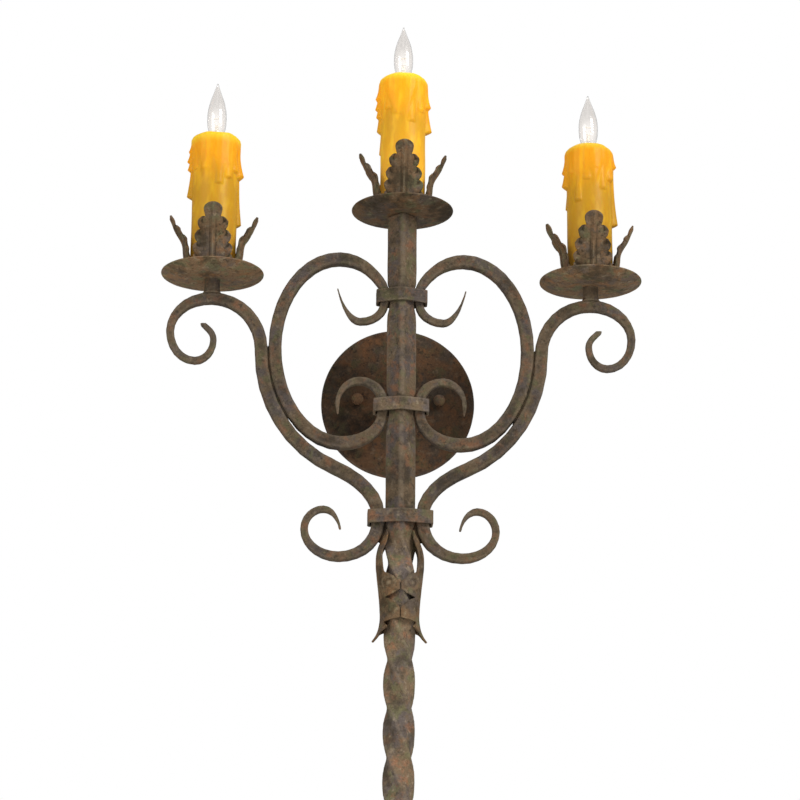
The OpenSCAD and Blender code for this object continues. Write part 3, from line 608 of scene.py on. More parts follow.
@dataclass(frozen=True)
class FilamentFinish(Finish):
    """The lit filament and its glass stem, brighter in some places than in others."""

    stem: Colour
    hot: Colour
    strength: float = 0.5
    roughness: float = 0.3

    def paint(self, graph: Graph, shader: bpy.types.Node) -> None:
        """Feeds the shader.

        Args:
            graph: the material's graph.
            shader: its Principled BSDF.
        """
        cloud = graph.cloud(graph.place(), 4 * MM, detail=2)
        light = graph.mix(graph.window(cloud, 0.3, 0.6), self.hot, self.stem)
        graph.feed(shader.inputs["Base Color"], graph.mix(cloud, self.stem, self.hot))
        graph.feed(shader.inputs["Emission Color"], light)
        shader.inputs["Emission Strength"].default_value = self.strength
        shader.inputs["Roughness"].default_value = self.roughness


FORGED = IronFinish(
    name="forged_iron_patina", slot="forged_iron", ground=(0.135, 0.094, 0.056), slate=(0.098, 0.078, 0.068),
    rust=(0.204, 0.099, 0.053), verdigris=(0.112, 0.104, 0.050), deep=(0.048, 0.036, 0.024),
    worn_and_highlight=(0.235, 0.182, 0.124), wear_and_highlight=0.34, roughness=0.72)
SHEET = IronFinish(
    name="sheet_iron_patina", slot="forged_iron", ground=(0.178, 0.110, 0.058), slate=(0.118, 0.088, 0.066),
    rust=(0.220, 0.110, 0.048), verdigris=(0.134, 0.128, 0.064), deep=(0.046, 0.033, 0.018),
    worn_and_highlight=(0.290, 0.228, 0.142), wear_and_highlight=0.55, roughness=0.7)
CANOPY = IronFinish(
    name="canopy_iron_patina", slot="canopy_iron", ground=(0.112, 0.059, 0.030), slate=(0.070, 0.050, 0.035),
    rust=(0.160, 0.072, 0.031), verdigris=(0.082, 0.066, 0.032), deep=(0.026, 0.018, 0.012),
    worn_and_highlight=(0.170, 0.115, 0.072), wear_and_highlight=0.6, roughness=0.68)
WAX = WaxFinish(name="amber_wax", slot="candle_wax", top=(0.93, 0.60, 0.030), upper=(0.88, 0.355, 0.008),
                middle=(0.60, 0.300, 0.015), foot=(0.54, 0.275, 0.040))
GLASS = GlassFinish(name="clear_bulb_glass", slot="bulb_glass", clear=(0.876, 0.855, 0.835),
                    rim=(0.60, 0.58, 0.56), glow=(1.0, 0.97, 0.93))
ZINC = MetalFinish(name="zinc_steel", slot="zinc_steel", bright=(0.62, 0.63, 0.65), dull=(0.42, 0.43, 0.44),
                   roughness=0.36)
BRASS = MetalFinish(name="plain_brass", slot="brass", bright=(0.72, 0.52, 0.22), dull=(0.46, 0.32, 0.13),
                    roughness=0.3)
PHENOLIC = PhenolicFinish(name="black_phenolic", slot="socket_black", black=(0.012, 0.012, 0.013),
                          haze=(0.030, 0.029, 0.028))
FILAMENT = FilamentFinish(name="lit_filament", slot="filament", stem=(0.42, 0.40, 0.38),
                          hot=(1.0, 0.93, 0.80))


# ---------------------------------------------------------------- mesh workshop


def merged_copy(node: str) -> bmesh.types.BMesh:
    """The frame's mesh of a node as one closed mesh.

    Args:
        node: the node's name.

    Returns:
        A new mesh whose points are merged.
    """
    bm = bmesh.new()
    bm.from_mesh(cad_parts[node].data)
    bmesh.ops.remove_doubles(bm, verts=bm.verts, dist=MERGE)
    bmesh.ops.recalc_face_normals(bm, faces=bm.faces)
    return bm


def remeshed(bm: bmesh.types.BMesh, voxel: float) -> bmesh.types.BMesh:
    """Rebuilds a closed mesh in even squares.

    Args:
        bm: the mesh, which is used up.
        voxel: size of a square.

    Returns:
        The even mesh.
    """
    mesh = bpy.data.meshes.new("blank")
    bm.to_mesh(mesh)
    bm.free()
    blank = bpy.data.objects.new("blank", mesh)
    bpy.context.scene.collection.objects.link(blank)
    modifier = blank.modifiers.new("Even squares", "REMESH")
    modifier.mode = "VOXEL"
    modifier.voxel_size = voxel
    even = bpy.data.meshes.new_from_object(blank.evaluated_get(bpy.context.evaluated_depsgraph_get()))
    bpy.data.objects.remove(blank)
    bpy.data.meshes.remove(mesh)
    made = bmesh.new()
    made.from_mesh(even)
    bpy.data.meshes.remove(even)
    return made


def soften(bm: bmesh.types.BMesh, passes: int) -> None:
    """Rounds a mesh's edges.

    Args:
        bm: the mesh.
        passes: how often its points move towards their neighbours.
    """
    for _ in range(passes):
        bmesh.ops.smooth_vert(bm, verts=bm.verts, factor=0.5,
                              use_axis_x=True, use_axis_y=True, use_axis_z=True)


def hammer(bm: bmesh.types.BMesh, depth: float, face: float, seed: float) -> None:
    """Sinks hammer marks into a mesh. No point moves outwards.

    Args:
        bm: the mesh.
        depth: deepest mark.
        face: width of a mark.
        seed: moves the marks, so that two pieces differ.
    """
    bm.normal_update()
    shift = Vector((seed, -seed, 0.5 * seed))
    for vert in bm.verts:
        place = vert.co / face + shift
        broad = 0.5 + 0.5 * noise.noise(place)
        fine = 0.5 + 0.5 * noise.noise(place * FINE_COUNT)
        vert.co -= vert.normal * depth * ((1 - FINE_SHARE) * broad + FINE_SHARE * fine)


def spun(profile: Sequence[tuple[float, float]], steps: int, closed: bool) -> bmesh.types.BMesh:
    """Turns a profile about the Z axis.

    Args:
        profile: points [radius, height], in order.
        steps: how many steps the full turn has.
        closed: whether the last point joins the first.

    Returns:
        The turned mesh, with its faces outwards if it is closed.
    """
    bm = bmesh.new()
    verts = [bm.verts.new((radius, 0.0, height)) for radius, height in profile]
    pairs = list(zip(verts, verts[1:])) + ([(verts[-1], verts[0])] if closed else [])
    edges = [bm.edges.new(pair) for pair in pairs]
    bmesh.ops.spin(bm, geom=verts + edges, cent=(0, 0, 0), axis=(0, 0, 1), dvec=(0, 0, 0),
                   angle=2 * math.pi, steps=steps, use_merge=True, use_duplicate=False)
    bmesh.ops.remove_doubles(bm, verts=bm.verts, dist=MERGE)
    bmesh.ops.recalc_face_normals(bm, faces=bm.faces)
    return bm


def rounded(profile: Sequence[tuple[float, float]], step: float) -> list[tuple[float, float]]:
    """A profile with extra points, so that no stretch is longer than step.

    Args:
        profile: points [radius, height], in order.
        step: longest stretch.

    Returns:
        The finer profile.
    """
    fine = []
    for (r0, z0), (r1, z1) in zip(profile, profile[1:]):
        parts = max(1, math.ceil(math.hypot(r1 - r0, z1 - z0) / step))
        fine += [(blend(r0, r1, i / parts), blend(z0, z1, i / parts)) for i in range(parts)]
    return [*fine, profile[-1]]


def arc(centre: tuple[float, float], radius: float, start: float, end: float,
        steps: int) -> list[tuple[float, float]]:
    """Points of an arc in a profile.

    Args:
        centre: its centre [radius, height].
        radius: its radius.
        start: first angle in degrees, from the outward direction.
        end: last angle in degrees.
        steps: how many steps it has.

    Returns:
        The points, both ends included.
    """
    angles = [math.radians(blend(start, end, i / steps)) for i in range(steps + 1)]
    return [(centre[0] + radius * math.cos(a), centre[1] + radius * math.sin(a)) for a in angles]


def added(bm: bmesh.types.BMesh, other: bmesh.types.BMesh) -> None:
    """Adds another mesh to a mesh.

    Args:
        bm: the mesh that grows.
        other: the mesh that is added, which is used up.
    """
    mesh = bpy.data.meshes.new("part")
    other.to_mesh(mesh)
    other.free()
    bm.from_mesh(mesh)
    bpy.data.meshes.remove(mesh)


def edge_strength(mesh: bpy.types.Mesh, passes: int) -> np.ndarray:
    """How far each point of a mesh stands out of its surroundings.

    Args:
        mesh: the mesh.
        passes: how often the value is spread to the neighbours.

    Returns:
        A value for each point: above 0 on edges, below 0 in hollows.
    """
    count = len(mesh.vertices)
    points = np.empty(count * 3)
    mesh.vertices.foreach_get("co", points)
    points = points.reshape(-1, 3)
    normals = np.empty(count * 3)
    mesh.vertices.foreach_get("normal", normals)
    normals = normals.reshape(-1, 3)
    pairs = np.empty(len(mesh.edges) * 2, dtype=int)
    mesh.edges.foreach_get("vertices", pairs)
    start, end = pairs[0::2], pairs[1::2]
    near = np.maximum(np.bincount(pairs, minlength=count), 1)

    def spread(values: np.ndarray) -> np.ndarray:
        """Mean of the neighbours' values."""
        return (np.bincount(start, values[end], count) + np.bincount(end, values[start], count)) / near

    mean = np.stack([spread(points[:, axis]) for axis in range(3)], axis=1)
    length = np.linalg.norm(points[start] - points[end], axis=1).mean()
    value = ((points - mean) * normals).sum(axis=1) / length
    for _ in range(passes):
        value = 0.4 * value + 0.6 * spread(value)
    return value


def write_attribute(mesh: bpy.types.Mesh, name: str, values: Iterable[float]) -> None:
    """Stores one value for each point of a mesh."""
    attribute = mesh.attributes.get(name) or mesh.attributes.new(name, "FLOAT", "POINT")
    attribute.data.foreach_set("value", np.asarray(values, dtype=np.float32))


def hang(name: str, bm: bmesh.types.BMesh, finish: Finish, body: str, nodes: Sequence[str],
         edge_gain: float = 0.0, passes: int = 2, tone: float = 1.0) -> bpy.types.Object:
    """Makes a finished piece of a mesh and hangs it on its body.

    Args:
        name: the piece's name.
        bm: its mesh, which is used up.
        finish: its finish.
        body: the body that it moves with.
        nodes: the frame's nodes that it stands for.
        edge_gain: scale of its edge attribute, or 0 to leave that flat.
        passes: how far the edge attribute is spread.
        tone: how far its colour is scaled, about 1; on many pieces this is painted light and shade.

    Returns:
        The piece.
    """
    mesh = bpy.data.meshes.new(name)
    bm.to_mesh(mesh)
    bm.free()
    mesh.shade_smooth()
    if edge_gain:
        write_attribute(mesh, EDGE, np.clip(edge_strength(mesh, passes) * edge_gain, -1, 1))
    if isinstance(finish, (IronFinish, WaxFinish)):
        write_attribute(mesh, TONE, [tone] * len(mesh.vertices))
    mesh.materials.append(finish.material())
    piece = bpy.data.objects.new(name, mesh)
    bpy.context.scene.collection.objects.link(piece)
    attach(piece, body)
    if nodes:
        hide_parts(*nodes)
    LOG.info("%s: %d points", name, len(mesh.vertices))
    return piece


def dress_node(node: str, finish: Finish) -> None:
    """Gives a node of the frame its material.

    Args:
        node: the node's name.
        finish: its finish.
    """
    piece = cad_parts[node]
    piece.data.materials.clear()
    piece.data.materials.append(finish.material())
    LOG.info("%s: %s", node, finish.name)


# --------------------------------------------------------------------- ironwork


@dataclass
class Forging:
    """A forged bar or block that keeps the frame's outline, with soft hammered faces."""

    node: str
    voxel: float = 1.0 * MM
    passes: int = 3
    dent: float = 0.32 * MM
    face: float = 10 * MM
    tone: float = 1.0
    foot: float = 0.0
    gain: float = 11.0
    edge_passes: int = 7
    foot_band: float = 4 * MM
    finish: IronFinish = FORGED

    def blank(self) -> bmesh.types.BMesh:
        """The closed form that is forged, its foot let into what it stands on.

        Returns:
            A closed mesh.
        """
        bm = merged_copy(self.node)
        low = min(vert.co.z for vert in bm.verts)
        feet = [vert for vert in bm.verts if vert.co.z < low + self.foot_band]
        bmesh.ops.translate(bm, vec=(0, 0, -self.foot), verts=feet if self.foot else [])
        return bm

    def build(self) -> bpy.types.Object:
        """Forges the piece over its node.

        Returns:
            The piece.
        """
        bm = remeshed(self.blank(), self.voxel)
        soften(bm, self.passes)
        hammer(bm, self.dent, self.face, len(self.node) * 0.37)
        return hang("forged_" + self.node, bm, self.finish, "root", [self.node], self.gain, self.edge_passes,
                    self.tone)


@dataclass
class ShaftForging(Forging):
    """The shaft, whose lower stretch is twisted in fine steps."""

    out: float = 92 * MM
    twist_top: float = -176 * MM
    twist_length: float = 408 * MM
    turns: float = 2.0
    half: float = 17.15 * MM
    corner: float = 1.0 * MM
    steps: int = 240
    lap: float = 0.6 * MM
    # Tone of the twist, made lighter as painted light on its facets, and the stretch over and under its top
    # where it sets in
    twist_light_tone: float = 1.52
    light_over: float = 20 * MM
    light_under: float = 30 * MM

    def stub(self, above: bool) -> bmesh.types.BMesh:
        """What the frame's shaft has above or below the twist.

        Args:
            above: whether the upper stub is wanted.

        Returns:
            A closed mesh.
        """
        cut = self.twist_top - self.lap if above else self.twist_top - self.twist_length + self.lap
        bm = merged_copy(self.node)
        bmesh.ops.bisect_plane(bm, geom=[*bm.verts, *bm.edges, *bm.faces], dist=MERGE, plane_co=(0, 0, cut),
                               plane_no=(0, 0, 1), clear_outer=not above, clear_inner=above)
        bmesh.ops.holes_fill(bm, edges=[edge for edge in bm.edges if edge.is_boundary], sides=0)
        return bm

    def blank(self) -> bmesh.types.BMesh:
        """The two stubs with the fine twist between them.

        Returns:
            Three closed meshes that overlap.
        """
        reach, corner = self.half, self.corner
        section = [(reach, -corner), (reach, corner), (corner, reach), (-corner, reach),
                   (-reach, corner), (-reach, -corner), (-corner, -reach), (corner, -reach)]
        bm = bmesh.new()
        ring = [bm.verts.new((x, y - self.out, self.twist_top)) for x, y in section]
        edges = [bm.edges.new(pair) for pair in zip(ring, ring[1:] + ring[:1])]
        bmesh.ops.spin(bm, geom=ring + edges, cent=(0, -self.out, 0), axis=(0, 0, 1),
                       dvec=(0, 0, -self.twist_length / self.steps), angle=2 * math.pi * self.turns,
                       steps=self.steps, use_merge=False, use_duplicate=False)
        bmesh.ops.holes_fill(bm, edges=[edge for edge in bm.edges if edge.is_boundary], sides=0)
        bmesh.ops.recalc_face_normals(bm, faces=bm.faces)
        added(bm, self.stub(True))
        added(bm, self.stub(False))
        return bm

    def build(self) -> bpy.types.Object:
        """Forges the shaft, with painted light that makes its twist paler than its straight part.

        Returns:
            The piece.
        """
        piece = super().build()
        low, high = self.twist_top - self.light_under, self.twist_top + self.light_over
        tones = [blend(self.twist_light_tone, self.tone, ease(low, high, vert.co.z)) for vert in piece.data.vertices]
        write_attribute(piece.data, TONE, tones)
        return piece


@dataclass
class Ironwork:
    """The shaft, the arms, the C-scrolls and what holds them together."""

    bars: tuple[str, ...] = ("arm_left", "arm_right", "scroll_left", "scroll_right")
    # Each collar with its tone: painted light and shade on the same iron, darkest on the top collar and
    # lightest on the middle one
    collars: tuple[tuple[str, float], ...] = (
        ("collar_top", 0.9), ("collar_middle", 1.3), ("collar_bottom", 1.1))
    risers: tuple[str, ...] = ("riser_left", "riser_right")
    bar_voxel: float = 0.95 * MM
    shaft_voxel: float = 1.15 * MM
    collar_voxel: float = 0.7 * MM
    shaft_tone: float = 1.04
    bar_tone: float = 0.86
    riser_foot: float = 2.2 * MM

    def build(self) -> list[bpy.types.Object]:
        """Forges every bar, collar and riser.

        Returns:
            The pieces.
        """
        jobs = [ShaftForging("shaft", self.shaft_voxel, passes=5, dent=0.5 * MM, face=14 * MM,
                             tone=self.shaft_tone)]
        jobs += [Forging(node, self.bar_voxel, passes=5, dent=0.55 * MM, face=10 * MM, tone=self.bar_tone)
                 for node in self.bars]
        jobs += [Forging(node, self.collar_voxel, passes=2, dent=0.35 * MM, face=7 * MM, tone=tone)
                 for node, tone in self.collars]
        jobs += [Forging(node, self.collar_voxel, passes=3, dent=0.2 * MM, face=8 * MM, tone=self.bar_tone,
                         foot=self.riser_foot) for node in self.risers]
        jobs.append(Forging("standoff_post", self.collar_voxel, passes=3, dent=0.3 * MM, face=8 * MM))
        return [job.build() for job in jobs]


@dataclass
class LeafClasps:
    """The pair of leaves that clasp the shaft under the bottom collar."""

    sheet: float = 2.0 * MM
    gap: float = 0.8 * MM
    shaft_out: float = 92 * MM
    twist_top: float = -176 * MM
    front_reach: float = 19.75 * MM
    columns: int = 40
    rows: int = 170
    dent: float = 0.12 * MM
    dent_face: float = 6 * MM
    thinner: float = 0.2 * MM
    # How deep the face is sunk between its ribs and rolls, and the midrib's height, both in mm, and half
    # its width in degrees
    sunk: float = 0.9
    rib: float = 0.5
    rib_half: float = 9.0
    # Rings of a volute's relief: distance from its eye and width, in shares of its radius, and height in mm
    rings: tuple[tuple[float, float, float], ...] = ((1, 0.3, 0.7), (0.55, 0.2, -0.6), (0, 0.3, 0.7))
    # Eye of each volute: degrees round the shaft, height over the twist's top in mm, radius in mm, strength
    volutes: tuple[tuple[float, float, float, float], ...] = ((56, -48.5, 6.8, 1.0), (58, -77.5, 5.6, 0.5))
    # Height over the twist's top in mm, distance from the axis in mm, half angle in degrees
    stations: tuple[tuple[float, float, float], ...] = (
        (11, 16.1, 20), (6, 17.4, 34), (1, 20, 42), (-6, 22.8, 43), (-12, 24.5, 38), (-19, 25.6, 38),
        (-30, 25.6, 41), (-36, 25, 44), (-38.5, 24.8, 58), (-41.5, 24.5, 72), (-46, 24, 83),
        (-50.5, 23.5, 97), (-54, 23.1, 96), (-57, 22.8, 84), (-60, 22.5, 70), (-62, 22.3, 54),
        (-63.5, 22.1, 42), (-65, 22, 52), (-67.5, 21.8, 66), (-71.5, 21.5, 79), (-76, 21.3, 91),
        (-80, 21.1, 97), (-84, 21.1, 97), (-86, 21.2, 84), (-87.5, 21.3, 56), (-89, 21.5, 34),
        (-91.5, 21.9, 42), (-94, 22.4, 50), (-96.5, 23.1, 40), (-99, 24, 22), (-103, 26, 12),
        (-108, 29.5, 2.5))

    def volute(self, turn: float, rise: float, width: float) -> float:
        """Relief of a lobe that curls up into a volute.

        Args:
            turn: degrees round the shaft from the volute's eye.
            rise: height over its eye, in mm.
            width: radius of its outer roll, in mm.

        Returns:
            The relief in mm.
        """
        reach = math.hypot(math.radians(turn) * self.front_reach / MM, rise) / width
        return sum(high * bump(reach - place, wide) for place, wide, high in self.rings)

    def leaf(self) -> bmesh.types.BMesh:
        """The right leaf's outer face.

        Returns:
            A sheet that looks away from the shaft.
        """
        bm = bmesh.new()
        bmesh.ops.create_grid(bm, x_segments=self.columns, y_segments=self.rows, size=1.0)
        for vert in bm.verts:
            across, down = vert.co.x, (1 - vert.co.y) / 2
            height, side, half = along(self.stations, down)
            side, front = side * MM, min(side * MM, self.front_reach)
            most = 90 - math.degrees(self.gap / 2 / front)
            angle = math.radians(min(half, most) * across)
            rib = self.rib * bump(across * max(half, 20), self.rib_half)
            curl = sum(strength * self.volute(abs(math.degrees(angle)) - turn, height - rise, width)
                       for turn, rise, width, strength in self.volutes)
            sink = MM * max(0.0, self.sunk - rib - curl)
            out = (front - sink) * math.sin(angle) - self.shaft_out
            vert.co = Vector(((side - sink) * math.cos(angle), out, self.twist_top + height * MM))
        return bm

    def build(self) -> list[bpy.types.Object]:
        """Makes both leaves.

        Returns:
            The left and the right piece.
        """
        pieces = []
        for side, flip in ((Side.LEFT, True), (Side.RIGHT, False)):
            bm = self.leaf()
            if flip:
                bmesh.ops.scale(bm, vec=(-1, 1, 1), verts=bm.verts)
                bmesh.ops.reverse_faces(bm, faces=bm.faces)
            node = "leaf_clasp_" + side.value
            hammer(bm, self.dent, self.dent_face, 1.0 + flip)
            piece = hang("acanthus_clasp_" + side.value, bm, SHEET, "root", [node], edge_gain=3.0)
            thicken(piece, self.sheet - self.thinner)
            pieces.append(piece)
        return pieces


def thicken(piece: bpy.types.Object, sheet: float, levels: int = 1) -> None:
    """Gives a sheet its thickness behind its face, and soft edges.

    Args:
        piece: the sheet.
        sheet: its thickness.
        levels: steps of subdivision.
    """
    solid = piece.modifiers.new("Sheet", "SOLIDIFY")
    solid.thickness = sheet
    solid.offset = -1
    if levels:
        soft = piece.modifiers.new("Soft edge", "SUBSURF")
        soft.levels = soft.render_levels = levels


@dataclass(frozen=True)
class Seam:
    """Where an arm lies along another bar: that bar, the heights between and how far the bead is let in."""

    inner: str
    low: float
    high: float
    inset: float


@dataclass
class WeldAndShadeBeads:
    """Beads that close the seams where the arms lie along their neighbours, darkened as painted shade of those
    crevices.
    """

    axis_out: float = 92 * MM
    half_bar: float = 7.1 * MM
    step: float = 2 * MM
    widest: float = 7 * MM
    over: float = 0.9 * MM
    # The beads' low tone is painted shade of the crevices between the bars
    tone: float = 0.28
    sides: int = 12
    # The fewest places that make a bead, and how many it takes to swell at each end
    fewest: int = 3
    swell: int = 3
    # How much the bead's size wavers, and how fast along it
    lumps: float = 0.1
    lump_rate: float = 300.0
    # Where the search for a seam starts, out from the middle, and a step clear of the face that it finds
    outside: float = 0.3
    clear: float = 0.05 * MM
    seams: tuple[Seam, ...] = (
        Seam("scroll_", -46 * MM, 36 * MM, 3.4 * MM), Seam("shaft", -192 * MM, -141 * MM, 6.2 * MM))

    @staticmethod
    def tree(node: str) -> BVHTree:
        """Search tree of a node's faces.

        Args:
            node: the node's name.

        Returns:
            The tree.
        """
        bm = merged_copy(node)
        made = BVHTree.FromBMesh(bm)
        bm.free()
        return made

    def gaps(self, seam: Seam, side: Side) -> list[tuple[Vector, float]]:
        """Middle and width of a seam, from low to high, where it is narrow enough.

        Args:
            seam: which seam.
            side: which arm.

        Returns:
            Points in the middle plane of the bars, each with the seam's width.
        """
        way = -1 if side is Side.LEFT else 1
        inner = self.tree(seam.inner + side.value if seam.inner.endswith("_") else seam.inner)
        arm = self.tree("arm_" + side.value)
        found = []
        for index in range(math.ceil((seam.high - seam.low) / self.step)):
            far = Vector((way * self.outside, -self.axis_out, seam.low + index * self.step))
            near = inner.ray_cast(far, Vector((-way, 0, 0)))[0]
            there = near and arm.ray_cast(near + Vector((way * self.clear, 0, 0)), Vector((way, 0, 0)))[0]
            if there and (there - near).length < self.widest:
                found.append(((near + there) / 2, (there - near).length))
        return found

    def bead(self, gaps: Sequence[tuple[Vector, float]], out: float) -> bmesh.types.BMesh:
        """One bead along a seam, thinned out at both ends.

        Args:
            gaps: middle and width of the seam at even steps.
            out: how far the bead lies towards the wall from the bars' middle.

        Returns:
            A closed tube.
        """
        bm = bmesh.new()
        size = gaps[0][1] / 2
        ring = bmesh.ops.create_circle(bm, cap_ends=True, segments=self.sides, radius=size)["verts"]
        bmesh.ops.translate(bm, vec=gaps[0][0] + Vector((0, out, 0)), verts=ring)
        faces = list(bm.faces)
        for index, ((here, _), (there, width)) in enumerate(zip(gaps, gaps[1:]), start=1):
            grown = bmesh.ops.extrude_face_region(bm, geom=faces)["geom"]
            bmesh.ops.delete(bm, geom=faces, context="FACES_ONLY")
            faces = [item for item in grown if isinstance(item, bmesh.types.BMFace)]
            ring = [item for item in grown if isinstance(item, bmesh.types.BMVert)]
            bmesh.ops.translate(bm, vec=there - here, verts=ring)
            middle = there + Vector((0, out, 0))
            ends = min(index, len(gaps) - 1 - index) / self.swell
            lump = 1 + self.lumps * noise.noise(there * self.lump_rate)
            wanted = (width / 2 + self.over * min(1.0, ends)) * lump
            bmesh.ops.scale(bm, vec=(wanted / size, wanted / size, 1), verts=ring,
                            space=Matrix.Translation(-middle))
            size = wanted
        bmesh.ops.recalc_face_normals(bm, faces=bm.faces)
        return bm

    def build(self) -> list[bpy.types.Object]:
        """Lays a bead in front of and behind each seam.

        Returns:
            The left and the right piece.
        """
        pieces = []
        for side in (Side.LEFT, Side.RIGHT):
            bm = bmesh.new()
            for seam in self.seams:
                gaps = self.gaps(seam, side)
                LOG.info("seam %s%s: %d places", seam.inner, side.value, len(gaps))
                if len(gaps) < self.fewest:
                    continue
                for out in (seam.inset - self.half_bar, self.half_bar - seam.inset):
                    added(bm, self.bead(gaps, out))
            pieces.append(hang("weld_and_shade_beads_" + side.value, bm, SHEET, "root", [], tone=self.tone))
        return pieces


# ----------------------------------------------------------------------- canopy


@dataclass
class Canopy:
    """The round backplate on the wall and the two knobs that hold it."""

    depth: float = 16 * MM
    sheet: float = 1.6 * MM
    crown: float = 1.6 * MM
    edge_r: float = 7 * MM
    rim: float = 4 * MM
    hole_r: float = 5.3 * MM
    flat_edge: float = 1 * MM
    # Where the rounded edge meets the face, in degrees from the outward direction
    edge_turn: float = 75.0
    stretch: float = 3 * MM
    stud_spacing: float = 88.9 * MM
    knob_d: float = 13 * MM
    knob_rise: float = 0.42
    knob_neck: float = 0.4
    seat: float = 0.3 * MM
    # Tone of the plate in the painted shadow across its middle and beyond it, and the heights from that middle
    # where it changes
    shadow_tone: float = 0.66
    lit_tone: float = 1.14
    shadow_z: float = -6 * MM
    shadow_to: float = 24 * MM
    lit_from: float = 72 * MM
    # The knobs' higher tone is a painted highlight on the balls
    knob_light_tone: float = 1.45
    rings: int = 14
    steps: int = 160

    def backplate(self) -> bmesh.types.BMesh:
        """The spun shell, open to the wall, along +Z.

        Returns:
            A closed mesh.
        """
        low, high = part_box("backplate")
        reach = (high.x - low.x) / 2
        edge = (reach - self.edge_r, self.depth - 1.25 * self.crown - self.edge_r)
        flat = reach - self.edge_r - self.flat_edge
        shares = [i / self.rings for i in range(self.rings + 1)]
        face = [(blend(self.hole_r, flat, share), self.depth - self.crown * share**2) for share in shares]
        outer = face + arc(edge, self.edge_r, self.edge_turn, 0, 10) + [(reach, 0.0)]
        inner = [(reach - self.rim, 0.0), (reach - self.rim, self.sheet), (reach - self.sheet, self.sheet)]
        inner += arc(edge, self.edge_r - self.sheet, 0, self.edge_turn, 8)
        inner += [(r, z - self.sheet) for r, z in reversed(face)]
        return spun(rounded(outer + inner, self.stretch), self.steps, closed=True)

    def knob(self) -> bmesh.types.BMesh:
        """One ball knob with its neck, along +Z from its seat.

        Returns:
            A closed mesh.
        """
        ball = self.knob_d / 2
        neck = self.knob_neck * self.knob_d
        rise = self.knob_rise * self.knob_d
        start = -math.degrees(math.acos(min(1.0, neck / ball)))
        profile = [(0.0, 0.0), (neck, 0.0), *arc((0.0, rise), ball, start, 90, 18)]
        return spun(profile, 40, closed=False)

    def build(self) -> list[bpy.types.Object]:
        """Makes the backplate and both knobs.

        Returns:
            The pieces.
        """
        to_room = Matrix.Rotation(math.radians(90), 4, "X")
        plate = self.backplate()
        hammer(plate, depth=0.25 * MM, face=17 * MM, seed=3.1)
        bmesh.ops.transform(plate, matrix=to_room, verts=plate.verts)
        knobs = bmesh.new()
        for side in (-1, 1):
            knob = self.knob()
            place = Matrix.Translation((side * self.stud_spacing / 2, -self.depth - self.seat, 0)) @ to_room
            bmesh.ops.transform(knob, matrix=place, verts=knob.verts)
            added(knobs, knob)
        hammer(knobs, depth=0.2 * MM, face=4 * MM, seed=0.4)
        shell = hang("spun_backplate", plate, CANOPY, "root", ["backplate"], edge_gain=2.0)
        # Painted shadow: the plate is darker across its middle
        shares = [ease(self.shadow_to, self.lit_from, abs(vert.co.z - self.shadow_z))
                  for vert in shell.data.vertices]
        write_attribute(shell.data, TONE, [blend(self.shadow_tone, self.lit_tone, share) for share in shares])
        return [shell, hang("ball_knobs", knobs, CANOPY, "root", ["canopy_knobs"], edge_gain=2.0,
                            tone=self.knob_light_tone)]


# ----------------------------------------------------------------------- lights


@dataclass(frozen=True)
class Lobe:
    """One pair of a leaf's lobes, in shares of the leaf's height and half width."""

    foot: float
    top: float
    notch: float
    wide: float


@dataclass(frozen=True)
class Drip:
    """A run of wax: where it hangs, how far it comes down and how it swells.

    The heading is in degrees from the front, to the right. Lengths are in mm.
    """

    heading: float
    down: float
    wide: float
    proud: float


